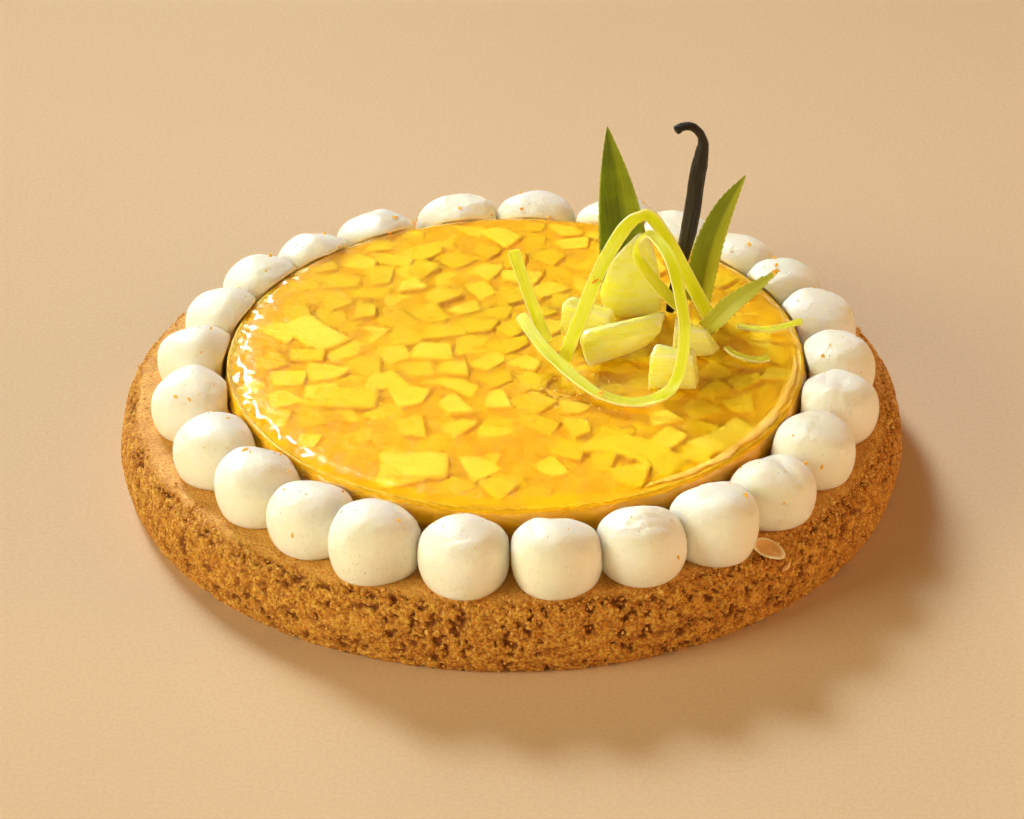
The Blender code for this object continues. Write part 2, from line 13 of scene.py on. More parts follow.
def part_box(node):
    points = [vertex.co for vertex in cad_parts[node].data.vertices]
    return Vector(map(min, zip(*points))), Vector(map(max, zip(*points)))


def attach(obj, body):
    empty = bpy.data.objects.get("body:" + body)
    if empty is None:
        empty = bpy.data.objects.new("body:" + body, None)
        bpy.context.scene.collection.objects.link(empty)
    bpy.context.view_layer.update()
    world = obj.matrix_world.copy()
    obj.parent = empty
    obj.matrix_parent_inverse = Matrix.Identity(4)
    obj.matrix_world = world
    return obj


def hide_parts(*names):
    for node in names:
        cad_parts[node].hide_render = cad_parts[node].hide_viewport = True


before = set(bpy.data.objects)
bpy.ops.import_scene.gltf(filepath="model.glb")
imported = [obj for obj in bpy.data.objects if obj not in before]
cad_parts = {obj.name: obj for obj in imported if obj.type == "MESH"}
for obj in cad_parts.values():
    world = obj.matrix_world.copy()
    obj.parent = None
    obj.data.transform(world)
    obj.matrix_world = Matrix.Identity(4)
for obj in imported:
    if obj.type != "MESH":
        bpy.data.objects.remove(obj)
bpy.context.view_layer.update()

# Sizes read from the frame
crust_low, crust_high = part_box("crust")
jelly_low, jelly_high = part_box("jelly")
CRUST_RADIUS = (crust_high.x - crust_low.x) / 2
CRUST_TOP = crust_high.z
JELLY_CENTRE = np.array([(jelly_low.x + jelly_high.x) / 2, (jelly_low.y + jelly_high.y) / 2])
JELLY_RADIUS = (jelly_high.x - jelly_low.x) / 2
JELLY_TOP = jelly_high.z
JELLY_FOOT = jelly_low.z
GAP = 0.0003

# Camera: it looks from the front, this far off and this high
CAMERA_DISTANCE = 1.2
CAMERA_ELEVATION = 31.8
CAMERA_ROLL = -0.5
FOCAL_PIXELS = 3893.0
IMAGE_WIDTH = 1024
IMAGE_HEIGHT = 819
ORIGIN_PIXEL = (511.2, 456.1)
SENSOR_WIDTH = 36.0

# Biscuit
CRUST_EDGE_ROUND = 0.0075
CRUST_EDGE_SET_BACK = 0.0010
CRUST_WIDEST_HEIGHT = 0.0105
CRUST_FOOT_RADIUS = 0.1168
CRUST_INNER_RADIUS = 0.0860
CRUST_COLUMNS = 1180
CRUST_SEED = 11
CRUST_CORNER = CRUST_RADIUS - CRUST_EDGE_SET_BACK - CRUST_EDGE_ROUND
CRUMB_COUNT = 1500
CRUMB_SEED = 31
SIDE_CRUMB_COUNT = 4200
SIDE_CRUMB_SEED = 37

# Jelly
JELLY_SHOULDER = 0.0062
JELLY_COLUMNS = 560
JELLY_SEED = 80
BED_INSET = 0.0015
BED_DEPTH = 0.0022
BED_ROUND = 0.0009
BED_COLUMNS = 240
BED_SEED = 90
DIE_WIDTH = 0.0102
DIE_HEIGHT = 0.0050
DICE_SEED = 5
DICE_RIM = 0.0050
DICE_SINK = 0.0008
# Each layer of dice: how many, how deep and how shallow they lie, how far apart
DICE_LAYERS = ((160, 0.0015, 0.0003, 0.0118), (150, 0.0024, 0.0014, 0.0110))
# The largest slices: middle x and y, half length, half width, turn in degrees, bend, paleness
SLICES = (
    (0.0358, -0.0610, 0.0150, 0.0056, -32.0, -1.1, 0.12),
    (0.0620, -0.0520, 0.0105, 0.0046, 43.0, 0.3, 0.90),
    (-0.0597, 0.0103, 0.0105, 0.0058, -49.0, 0.2, 0.70),
    (-0.0280, -0.0665, 0.0098, 0.0068, -1.0, 0.0, 0.55),
    (-0.0490, -0.0282, 0.0096, 0.0058, -4.0, 0.0, 0.05))
FROTH_SEED = 61
BUBBLE_COUNT = 320

# Piped creams, as the solid model has them
CREAM_COUNT = 25
CREAM_FIRST_AZIMUTH = 275.7
CREAM_DRIFT = (0.7, 0.8, -0.3, -0.2, 0.4, 0.9, 1.0, 1.6, -0.4, -1.0, -2.0, -3.6, -2.8,
               -2.0, 0.0, 0.6, -0.6, -1.4, -2.0, -0.9, 1.0, 0.9, 0.2, -0.9, 0.0)
CREAM_SHIFT = (0.0012, 0.0011, 0.0016, 0.0008, -0.0010, -0.0006, -0.0010, 0.0, -0.0008, -0.0008,
               0.0, 0.0, 0.0, -0.0005, -0.0028, -0.0040, -0.0018, -0.0022, -0.0012, -0.0008,
               -0.0014, -0.0018, -0.0008, 0.0010, 0.0010)
CREAM_SIZE = {1: 1.05, 2: 1.03, 3: 1.05, 4: 0.93, 24: 1.08, 25: 1.05}
CREAM_RING_CENTRE = np.array([0.0013, -0.0055])
CREAM_RING_RADIUS = 0.0972
CREAM_HEIGHT = 0.0176
CREAM_WIDEST_HEIGHT = 0.0068
CREAM_HALF_WIDTH = 0.0135
CREAM_OUTER_REACH = 0.0136
CREAM_TAIL_REACH = 0.0150
CREAM_UNDERCUT = 0.12
CREAM_PRESS = 22.0
CREAM_SIZE_SPREAD = 0.015
CREAM_LEAN = 0.0014
CREAM_RIPPLE = 0.03
CREAM_SWELLS = 3
CREAM_TAPER = 0.42
CREAM_TAIL_DROP = 0.30
CREAM_TAIL_SQUEEZE = 0.0006
CREAM_ROWS = 44
CREAM_COLUMNS = 72
CREAM_TOUCH = -0.0003
CREASED_CREAM = 4
CREASE_DEPTH = 0.0011
CREASE_WIDTH = 0.0016
CREAM_SEED = 25
CREAM_DENT_SEED = 70
SPECK_SEED = 44

# Garnish
GARNISH_FLOOR = JELLY_TOP + 2 * GAP
STRIP_THICKNESS = 0.0011
LEAF_THICKNESS = 0.0007
CHUNK_SEED = 100
STRIP_SEED = 120
POD_SEED = 130
ZEST_SEED = 52
ALMOND_HALF = (0.0050, 0.0037, 0.00042)
ALMOND_TURN = -38.0
SLIVER_HALF = (0.0031, 0.0007, 0.0006)
SLIVER_BEND = 0.0005
SLIVER_SHIFT = (0.0054, 0.0020, 0.0)
SLIVER_TURN = 72.0


def hashed(cells, seed):
    """A repeatable random number from 0 to 1 for each row of three whole numbers, by mixing their bits."""
    x, y, z = (cells[..., axis].astype(np.int64).view(np.uint64) for axis in range(3))
    mixed = x * np.uint64(0x9E3779B185EBCA87) ^ y * np.uint64(0xC2B2AE3D27D4EB4F)
    mixed = mixed ^ z * np.uint64(0x165667B19E3779F9) ^ np.uint64(seed * 7919 + 104729)
    mixed = (mixed ^ (mixed >> np.uint64(33))) * np.uint64(0xFF51AFD7ED558CCD)
    mixed = (mixed ^ (mixed >> np.uint64(29))) * np.uint64(0xC4CEB9FE1A85EC53)
    return ((mixed ^ (mixed >> np.uint64(32))) >> np.uint64(11)) / 2.0 ** 53


def smooth_noise(points, lump, seed):
    """Noise from -1 to 1 with lumps of one size: random values at a lattice's corners, blended smoothly."""
    place = points / lump
    base = np.floor(place)
    t = place - base
    t = t * t * (3.0 - 2.0 * t)
    total = 0.0
    for corner in itertools.product((0, 1), repeat=3):
        share = np.prod(np.where(np.array(corner) == 1, t, 1.0 - t), axis=-1)
        total = total + share * hashed(base + corner, seed)
    return 2.0 * total - 1.0


def layered_noise(points, lump, seed):
    """Three sizes of smooth noise, each half as large and half as strong as the one before."""
    return sum(smooth_noise(points, lump / 2 ** k, seed + k) / 2 ** k for k in range(3)) / 1.75


def cell_noise(points, cell, seed):
    """Distance, in cells, to the nearest of points scattered one to a cell, and that point's tag."""
    place = points / cell
    base = np.floor(place)
    near = np.full(place.shape[:-1], 9.0)
    tag = np.zeros_like(near)
    for offset in itertools.product((-1, 0, 1), repeat=3):
        other = base + offset
        middle = other + np.stack([hashed(other, seed + k) for k in (1, 2, 3)], axis=-1)
        distance = np.linalg.norm(middle - place, axis=-1)
        closer = distance < near
        tag = np.where(closer, hashed(other, seed + 4), tag)
        near = np.where(closer, distance, near)
    return near, tag


def ease(value, low, high):
    """0 below low and 1 above high, with a smooth step between."""
    t = np.clip((value - low) / (high - low), 0.0, 1.0)
    return t * t * (3.0 - 2.0 * t)


def colour(red, green, blue):
    """A colour from its values out of 255, made linear."""
    values = np.array([red, green, blue]) / 255.0
    linear = np.where(values > 0.04045, ((values + 0.055) / 1.055) ** 2.4, values / 12.92)
    return (*linear.tolist(), 1.0)


def mesh_from(name, points, faces, marks=None):
    """A smooth mesh from points and arrays of faces, all turned over where they enclose it inside out."""
    triangles = np.concatenate([
        np.stack([f[:, 0], f[:, k], f[:, k + 1]], axis=1) for f in faces for k in range(1, f.shape[1] - 1)])
    a, b, c = (points[triangles[:, k]] for k in range(3))
    if np.einsum("ij,ij->", a, np.cross(b, c)) < 0.0:
        faces = [f[:, ::-1] for f in faces]
    sizes = np.concatenate([np.full(len(f), f.shape[1]) for f in faces])
    corners = np.concatenate([f.ravel() for f in faces]).astype(np.int32)
    mesh = bpy.data.meshes.new(name)
    mesh.vertices.add(len(points))
    mesh.vertices.foreach_set("co", points.astype(np.float32).ravel())
    mesh.loops.add(len(corners))
    mesh.loops.foreach_set("vertex_index", corners)
    mesh.polygons.add(len(sizes))
    mesh.polygons.foreach_set("loop_start", np.concatenate([[0], np.cumsum(sizes)[:-1]]).astype(np.int32))
    mesh.update(calc_edges=True)
    mesh.shade_smooth()
    for mark, values in (marks or {}).items():
        values = np.asarray(values, np.float32)
        if values.ndim == 2:
            mesh.attributes.new(mark, "FLOAT_VECTOR", "POINT").data.foreach_set("vector", values.ravel())
        else:
            mesh.attributes.new(mark, "FLOAT", "POINT").data.foreach_set("value", values)
    return mesh


def closed_faces(rows, columns):
    """Faces of a grid that closes round its columns, with one more point at each end, last in the list."""
    index = np.arange(rows * columns).reshape(rows, columns)
    beside = np.roll(index, -1, axis=1)
    quads = np.stack([index[:-1], index[1:], beside[1:], beside[:-1]], axis=-1).reshape(-1, 4)
    start, end = rows * columns, rows * columns + 1
    first = np.stack([np.full(columns, start), index[0], beside[0]], axis=-1)
    last = np.stack([np.full(columns, end), beside[-1], index[-1]], axis=-1)
    return [quads, np.concatenate([first, last])]


def with_ends(values):
    """A grid's values as a list, with the middle of the first row and of the last one added."""
    flat = values.reshape(-1, *values.shape[2:])
    return np.concatenate([flat, [values[0].mean(axis=0)], [values[-1].mean(axis=0)]])


def add_piece(name, mesh, material, slot, *nodes):
    """A finished piece in the scene: it rides with the tart and stands for the nodes named."""
    piece = bpy.data.objects.new(name, mesh)
    mesh.materials.append(material)
    bpy.context.scene.collection.objects.link(piece)
    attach(piece, "root")
    if nodes:
        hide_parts(*nodes)
    return piece


def closed_piece(name, grid, material, slot, *nodes, marks=None):
    """A piece from a grid of points whose columns close round and whose end rows close to a point each."""
    points = with_ends(grid)
    marks = {mark: with_ends(values) for mark, values in (marks or {}).items()}
    mesh = mesh_from(name, points, closed_faces(*grid.shape[:2]), marks)
    return add_piece(name, mesh, material, slot, *nodes)


def scattered_piece(name, shape, places, material, slot, marks=None):
    """One piece of many small closed grids: shape is (pieces, rows, columns, 3), places is added to each."""
    count, rows, columns = shape.shape[:3]
    grids = shape + places[:, None, None, :]
    points = np.concatenate([with_ends(grid) for grid in grids])
    step = rows * columns + 2
    shift = (np.arange(count) * step)[:, None, None]
    faces = [(kind[None] + shift).reshape(-1, kind.shape[1]) for kind in closed_faces(rows, columns)]
    marks = {mark: np.repeat(values, step, axis=0) for mark, values in (marks or {}).items()}
    return add_piece(name, mesh_from(name, points, faces, marks), material, slot)


def full_turn(count):
    """Even steps of a full turn, in radians."""
    return np.arange(count) / count * 2.0 * math.pi


def round_z(radius, azimuth, height):
    """Points at a radius and an azimuth round Z, and a height."""
    return np.stack([radius * np.cos(azimuth), radius * np.sin(azimuth), height], axis=-1)


def swung(along, across, turn):
    """The x and y of a place along and across a direction, which is turned from X by an angle."""
    return along * np.cos(turn) - across * np.sin(turn), along * np.sin(turn) + across * np.cos(turn)


def ball(rows, columns):
    """Directions over a unit ball without its poles: rows from the top down, columns round it."""
    down = (np.arange(rows) + 0.5) / rows * math.pi
    around = (np.arange(columns) + 0.5) / columns * 2.0 * math.pi
    down, around = np.meshgrid(down, around, indexing="ij")
    return np.stack([np.sin(down) * np.cos(around), np.sin(down) * np.sin(around), np.cos(down)], axis=-1)


def rounded_block(rows, columns, squareness):
    """A block from -1 to 1 with round edges: a ball's directions divided by their length in a high power."""
    directions = ball(rows, columns)
    length = np.sum(np.abs(directions) ** squareness, axis=-1, keepdims=True) ** (1.0 / squareness)
    return directions / length


def diced_block():
    """A block from -1 to 1 with a square outline, narrow bevels round its top and foot, and flat faces."""
    around = (np.arange(20) + 0.5) / 20 * 2.0 * math.pi
    outline = np.stack([np.cos(around), np.sin(around)], axis=-1)
    outline /= np.sum(np.abs(outline) ** 14, axis=-1, keepdims=True) ** (1.0 / 14)
    rings = ((0.90, 1.0), (1.0, 0.80), (1.0, -0.80), (0.90, -1.0))
    return np.stack([np.column_stack([outline * share, np.full(20, height)]) for share, height in rings])


def spun(shapes, chance, tilt):
    """Each of many shapes turned at random about Z, and tipped by up to tilt about X and about Y."""
    count = len(shapes)
    turned = shapes
    for axis, reach in ((0, tilt), (1, tilt), (2, math.pi)):
        angle = chance.uniform(-reach, reach, count)
        cosine = np.cos(angle)[:, None, None]
        sine = np.sin(angle)[:, None, None]
        one, other = (axis + 1) % 3, (axis + 2) % 3
        moved = turned.copy()
        moved[..., one] = turned[..., one] * cosine - turned[..., other] * sine
        moved[..., other] = turned[..., one] * sine + turned[..., other] * cosine
        turned = moved
    return turned


def smooth_path(points, count):
    """A smooth curve through the points: on each span, the Catmull-Rom cubic of the four points round it."""
    points = np.array(points, float)
    knots = np.vstack([2 * points[0] - points[1], points, 2 * points[-1] - points[-2]])
    step = np.linspace(0.0, len(points) - 1, count)
    span = np.minimum(step.astype(int), len(points) - 2)
    t = (step - span)[:, None]
    a, b, c, d = (knots[span + k] for k in range(4))
    return 0.5 * (2 * b + (c - a) * t + (2 * a - 5 * b + 4 * c - d) * t ** 2
                  + (3 * b - a - 3 * c + d) * t ** 3)


def frames_along(path, twists, facing):
    """Sideways and outward directions along a path, turned about it by the twists in degrees."""
    ahead = np.gradient(path, axis=0)
    ahead /= np.linalg.norm(ahead, axis=1)[:, None]
    side = np.cross(ahead, np.array(facing))
    side /= np.linalg.norm(side, axis=1)[:, None]
    outward = np.cross(side, ahead)
    angle = np.radians(twists)[:, None]
    return side * np.cos(angle) + outward * np.sin(angle), outward * np.cos(angle) - side * np.sin(angle)


def add(tree, kind, inputs=None, **settings):
    """A node with its settings made, and its inputs set to values or linked to other nodes' outputs."""
    made = tree.nodes.new(kind)
    for name, value in settings.items():
        setattr(made, name, value)
    for name, value in (inputs or {}).items():
        if isinstance(value, bpy.types.NodeSocket):
            tree.links.new(value, made.inputs[name])
        else:
            made.inputs[name].default_value = value
    return made


def mixed(tree, share, first, second, kind="MIX"):
    """The colour between two, or of one laid on the other by another kind of mix."""
    mix = add(tree, "ShaderNodeMix", data_type="RGBA", blend_type=kind)
    for place, value in ((0, share), (6, first), (7, second)):
        if isinstance(value, bpy.types.NodeSocket):
            tree.links.new(value, mix.inputs[place])
        else:
            mix.inputs[place].default_value = value
    return mix.outputs[2]


def spread(tree, value, low, high, to_low=0.0, to_high=1.0):
    """A value from one range carried into another, held at its ends, with smooth steps."""
    node = add(tree, "ShaderNodeMapRange", {
        "Value": value, "From Min": low, "From Max": high, "To Min": to_low, "To Max": to_high},
        interpolation_type="SMOOTHSTEP")
    return node.outputs["Result"]


def computed(tree, operation, first, second=0.0):
    """The result of one sum on two values."""
    node = tree.nodes.new("ShaderNodeMath")
    node.operation = operation
    for place, value in ((0, first), (1, second)):
        if isinstance(value, bpy.types.NodeSocket):
            tree.links.new(value, node.inputs[place])
        else:
            node.inputs[place].default_value = value
    return node.outputs[0]


def marked(tree, name):
    """The Factor of an attribute that the piece carries."""
    return add(tree, "ShaderNodeAttribute", attribute_name=name).outputs["Fac"]


def marked_vector(tree, name):
    return add(tree, "ShaderNodeAttribute", attribute_name=name).outputs["Vector"]


def object_place(tree):
    return add(tree, "ShaderNodeTexCoord").outputs["Object"]


def noise(tree, place, lump, detail=2.0, roughness=0.5):
    """Noise with lumps of one size in metres."""
    node = add(tree, "ShaderNodeTexNoise", {
        "Vector": place, "Scale": 1.0 / lump, "Detail": detail, "Roughness": roughness})
    return node.outputs["Fac"]


def food(name, **constants):
    """A new material's tree and its Principled shader, with plain numbers set on the shader's sockets."""
    material = bpy.data.materials.new(name)
    material.use_nodes = True
    tree = material.node_tree
    shader = tree.nodes["Principled BSDF"]
    for socket, value in constants.items():
        shader.inputs[socket.replace("_", " ")].default_value = value
    return material, tree, shader


def dress(tree, shader, tint, rough):
    """Link a shader's colour and its roughness to the sockets that give them."""
    tree.links.new(tint, shader.inputs["Base Color"])
    tree.links.new(rough, shader.inputs["Roughness"])


def bump(tree, shader, height, distance):
    """Fine relief of a given height, in metres, on a shader's surface."""
    node = add(tree, "ShaderNodeBump", {"Height": height, "Distance": distance, "Strength": 1.0})
    tree.links.new(node.outputs["Normal"], shader.inputs["Normal"])


def group_inputs(group, sockets):
    """Named inputs of a node group: a kind of socket and a first value for each."""
    for name, (kind, value) in sockets.items():
        socket = group.interface.new_socket(name, in_out="INPUT", socket_type=kind)
        socket.default_value = value
    return group.nodes.new("NodeGroupInput").outputs


def group_outputs(group, values):
    """Named outputs of a node group, each linked to the socket that gives its value."""
    end = group.nodes.new("NodeGroupOutput")
    for name, (kind, value) in values.items():
        group.interface.new_socket(name, in_out="OUTPUT", socket_type=kind)
        group.links.new(value, end.inputs[name])


def mottle_group():
    """Uneven colour in food: two colours mixed by broad noise, then lightened and darkened by fine noise."""
    group = bpy.data.node_groups.new("mottle", "ShaderNodeTree")
    given = group_inputs(group, {
        "Vector": ("NodeSocketVector", (0.0, 0.0, 0.0)),
        "Broad Scale": ("NodeSocketFloat", 60.0),
        "Fine Scale": ("NodeSocketFloat", 600.0),
        "Fine Strength": ("NodeSocketFloat", 0.3),
        "First Colour": ("NodeSocketColor", (1.0, 1.0, 1.0, 1.0)),
        "Second Colour": ("NodeSocketColor", (0.5, 0.5, 0.5, 1.0))})
    broad = add(group, "ShaderNodeTexNoise", {
        "Vector": given["Vector"], "Scale": given["Broad Scale"], "Detail": 3.0})
    fine = add(group, "ShaderNodeTexNoise", {
        "Vector": given["Vector"], "Scale": given["Fine Scale"], "Detail": 2.0})
    base = mixed(group, spread(group, broad.outputs["Fac"], 0.35, 0.65),
                 given["First Colour"], given["Second Colour"])
    grain = spread(group, fine.outputs["Fac"], 0.3, 0.7)
    grey = add(group, "ShaderNodeCombineColor", {"Red": grain, "Green": grain, "Blue": grain})
    shaded = mixed(group, given["Fine Strength"], base, grey.outputs["Color"], "OVERLAY")
    group_outputs(group, {
        "Color": ("NodeSocketColor", shaded),
        "Broad Mask": ("NodeSocketFloat", broad.outputs["Fac"]),
        "Fine Mask": ("NodeSocketFloat", fine.outputs["Fac"])})
    return group


def fibre_group():
    """Fibres along the first axis of a place: fine noise drawn out long, as a mask and a height."""
    group = bpy.data.node_groups.new("fibres", "ShaderNodeTree")
    given = group_inputs(group, {
        "Vector": ("NodeSocketVector", (0.0, 0.0, 0.0)),
        "Fibre Scale": ("NodeSocketFloat", 1400.0),
        "Length Ratio": ("NodeSocketFloat", 0.08)})
    ratio = add(group, "ShaderNodeCombineXYZ", {"X": given["Length Ratio"], "Y": 1.0, "Z": 1.0})
    drawn = add(group, "ShaderNodeVectorMath", {0: given["Vector"], 1: ratio.outputs["Vector"]},
                operation="MULTIPLY")
    fine = add(group, "ShaderNodeTexNoise", {
        "Vector": drawn.outputs["Vector"], "Scale": given["Fibre Scale"], "Detail": 3.0})
    group_outputs(group, {
        "Mask": ("NodeSocketFloat", spread(group, fine.outputs["Fac"], 0.38, 0.62)),
        "Height": ("NodeSocketFloat", fine.outputs["Fac"])})
    return group


MOTTLE = mottle_group()
FIBRES = fibre_group()


def mottled(tree, place, broad, fine, strength, first, second):
    """The mottle group in a material: broad and fine lumps in metres and the two colours."""
    return add(tree, "ShaderNodeGroup", node_tree=MOTTLE, inputs={
        "Vector": place, "Broad Scale": 1.0 / broad, "Fine Scale": 1.0 / fine,
        "Fine Strength": strength, "First Colour": first, "Second Colour": second}).outputs


def fibrous(tree, place, fibre, ratio):
    """The fibre group in a material: a fibre's width in metres, and its width over its length."""
    return add(tree, "ShaderNodeGroup", node_tree=FIBRES, inputs={
        "Vector": place, "Fibre Scale": 1.0 / fibre, "Length Ratio": ratio}).outputs


def biscuit_material():
    """Golden crumb with pale grains and dark painted shade in its hollows and seams; its smoother top is
    painted a lighter tan, partly its own skin and partly painted light, and has a dull sheen.
    """
    material, tree, shader = food("biscuit_crumb")
    place = object_place(tree)
    crumb = mottled(tree, place, 0.0030, 0.0009, 0.45, colour(228, 164, 62), colour(196, 124, 34))
    fine = noise(tree, place, 0.0010, 3.0, 0.70)
    side = mixed(tree, spread(tree, fine, 0.56, 0.70, 0.0, 0.75), crumb["Color"], colour(254, 218, 132))
    side = mixed(tree, spread(tree, fine, 0.46, 0.34, 0.0, 0.80), side, colour(140, 70, 8))
    # Painted shade: the hollows, pits and seams between crumbs are coloured dark brown, as if shade falls in
    # them.
    side = mixed(tree, spread(tree, marked(tree, "hollow_shade"), 0.12, 0.85, 0.0, 0.85), side, colour(122, 54, 5))
    # The top's lighter tan is partly its smoother skin and partly painted light from the key grazing it; its
    # sheen comes from lower roughness.
    skin = mottled(tree, place, 0.007, 0.0007, 0.35, colour(240, 180, 86), colour(224, 158, 64))
    top = marked(tree, "top")
    matt = spread(tree, crumb["Fine Mask"], 0.3, 0.7, 0.80, 0.95)
    sheen = computed(tree, "MULTIPLY", top, 0.30)
    dress(tree, shader, mixed(tree, top, side, skin["Color"]), computed(tree, "SUBTRACT", matt, sheen))
    bump(tree, shader, noise(tree, place, 0.0009, 4.0, 0.65), 0.0009)
    return material


def crumb_material():
    """Loose crumbs, each with its own tone of the biscuit's gold."""
    material, tree, shader = food("loose_crumb", Specular_IOR_Level=0.2)
    place = object_place(tree)
    tone = mixed(tree, marked(tree, "tone"), colour(196, 122, 36), colour(246, 198, 112))
    fine = mottled(tree, place, 0.002, 0.0004, 0.35, tone, tone)
    dress(tree, shader, fine["Color"], spread(tree, fine["Fine Mask"], 0.3, 0.7, 0.8, 0.95))
    bump(tree, shader, fine["Fine Mask"], 0.0003)
    return material


def cream_material():
    """Ivory whipped cream: satin, a little see-through, faintly creased along its piping."""
    material, tree, shader = food(
        "piped_cream", Subsurface_Weight=0.5, Subsurface_Scale=0.006, Subsurface_Radius=(1.0, 0.78, 0.48),
        Specular_IOR_Level=0.4)
    place = object_place(tree)
    tint = mottled(tree, place, 0.012, 0.0012, 0.04, colour(254, 251, 240), colour(252, 247, 230))
    dress(tree, shader, tint["Color"], spread(tree, tint["Broad Mask"], 0.35, 0.65, 0.38, 0.52))
    bubbles = spread(tree, noise(tree, place, 0.0009, 1.0), 0.68, 0.76, 0.0, 0.8)
    soft = computed(tree, "MULTIPLY", noise(tree, place, 0.0030, 3.0), 1.6)
    bump(tree, shader, computed(tree, "SUBTRACT", soft, bubbles), 0.00034)
    return material


def clear_jelly_material():
    """Cloudy amber jelly under a sharp gloss: it blurs what lies in it and takes blue out of the light."""
    material, tree, shader = food(
        "clear_jelly", Transmission_Weight=1.0, IOR=1.34, Roughness=0.30, Coat_Weight=1.0,
        Coat_Roughness=0.03, Coat_IOR=1.36, Base_Color=(1.0, 1.0, 1.0, 1.0))
    place = object_place(tree)
    bump(tree, shader, noise(tree, place, 0.004, 2.0), 0.0004)
    lit = add(tree, "ShaderNodeBsdfTransparent", {"Color": (1.0, 0.985, 0.90, 1.0)})
    path = add(tree, "ShaderNodeLightPath")
    either = add(tree, "ShaderNodeMixShader", {0: path.outputs["Is Shadow Ray"]})
    tree.links.new(shader.outputs["BSDF"], either.inputs[1])
    tree.links.new(lit.outputs["BSDF"], either.inputs[2])
    end = tree.nodes["Material Output"]
    tree.links.new(either.outputs["Shader"], end.inputs["Surface"])
    amber = add(tree, "ShaderNodeVolumeAbsorption", {"Color": (0.999, 0.91, 0.10, 1.0), "Density": 300.0})
    tree.links.new(amber.outputs["Volume"], end.inputs["Volume"])
    return material


def bed_material():
    """The jelly's deep amber body, where the dice and the jelly blur together, painted lighter down its wall
    as painted light through the jelly.
    """
    material, tree, shader = food("amber_bed", Specular_IOR_Level=0.2)
    place = object_place(tree)
    tint = mottled(tree, place, 0.010, 0.003, 0.08, colour(226, 190, 2), colour(218, 172, 0))
    # Painted light: the wall is coloured a lighter amber to stand in for light passing through the jelly to
    # its shaded side.
    lit = mixed(tree, marked(tree, "wall"), tint["Color"], colour(255, 196, 24))
    dress(tree, shader, lit, spread(tree, tint["Broad Mask"], 0.3, 0.7, 0.35, 0.55))
    return material


def dice_material():
    """Diced fruit: deep yellow mango and paler pineapple, each die with its own tone."""
    material, tree, shader = food("diced_fruit", Specular_IOR_Level=0.1)
    place = object_place(tree)
    tone = mixed(tree, marked(tree, "tone"), colour(226, 202, 2), colour(246, 234, 112))
    tint = mottled(tree, place, 0.006, 0.0008, 0.05, tone, mixed(tree, 0.25, tone, colour(230, 180, 2)))
    dress(tree, shader, tint["Color"], spread(tree, tint["Broad Mask"], 0.3, 0.7, 0.3, 0.5))
    bump(tree, shader, noise(tree, place, 0.0009, 3.0), 0.0002)
    return material


def froth_material():
    """Fine bubbles in the jelly's rim: pale and wet."""
    material, tree, shader = food("froth", Specular_IOR_Level=0.6, Coat_Weight=0.6, Coat_Roughness=0.05)
    place = object_place(tree)
    tint = mottled(tree, place, 0.004, 0.0006, 0.10, colour(252, 230, 176), colour(246, 212, 130))
    dress(tree, shader, tint["Color"], spread(tree, tint["Fine Mask"], 0.3, 0.7, 0.12, 0.25))
    return material


def pineapple_material():
    """Wet pineapple flesh: yellow with pale fibres, and a painted highlight of near white along the edges of
    its top.
    """
    material, tree, shader = food("pineapple_flesh", Subsurface_Weight=0.9, Subsurface_Scale=0.010,
                                  Subsurface_Radius=(1.0, 0.85, 0.30), Coat_Weight=0.5, Coat_Roughness=0.12)
    place = object_place(tree)
    fibres = fibrous(tree, marked_vector(tree, "grain"), 0.0007, 0.12)
    flesh = mottled(tree, place, 0.006, 0.0012, 0.04, colour(255, 250, 128), colour(255, 244, 92))
    streaks = computed(tree, "MULTIPLY", fibres["Mask"], 0.30)
    streaked = mixed(tree, streaks, flesh["Color"], colour(255, 250, 190))
    # Painted highlight: the edges of the top are coloured near white, as if light glints on them.
    rim = spread(tree, marked(tree, "rim"), 0.72, 0.97, 0.0, 0.65)
    dress(tree, shader, mixed(tree, rim, streaked, colour(255, 250, 208)),
          spread(tree, fibres["Mask"], 0.0, 1.0, 0.25, 0.45))
    bump(tree, shader, fibres["Height"], 0.0002)
    return material


def peel_material():
    """Cut strips of yellow green peel, paler along both edges and on the inner side."""
    material, tree, shader = food("cut_peel", Specular_IOR_Level=0.45, Subsurface_Weight=0.6,
                                  Subsurface_Scale=0.003, Subsurface_Radius=(1.0, 1.0, 0.3))
    fibres = fibrous(tree, marked_vector(tree, "grain"), 0.0006, 0.05)
    streaks = computed(tree, "MULTIPLY", fibres["Mask"], 0.6)
    skin = mixed(tree, streaks, colour(224, 242, 20), colour(242, 252, 110))
    edge = spread(tree, marked(tree, "edge"), 0.78, 0.98, 0.0, 0.75)
    pale = mixed(tree, edge, skin, colour(254, 254, 190))
    inner = computed(tree, "MULTIPLY", marked(tree, "inner"), 0.40)
    dress(tree, shader, mixed(tree, inner, pale, colour(244, 240, 140)),
          spread(tree, fibres["Mask"], 0.0, 1.0, 0.32, 0.48))
    bump(tree, shader, fibres["Height"], 0.0001)
    return material


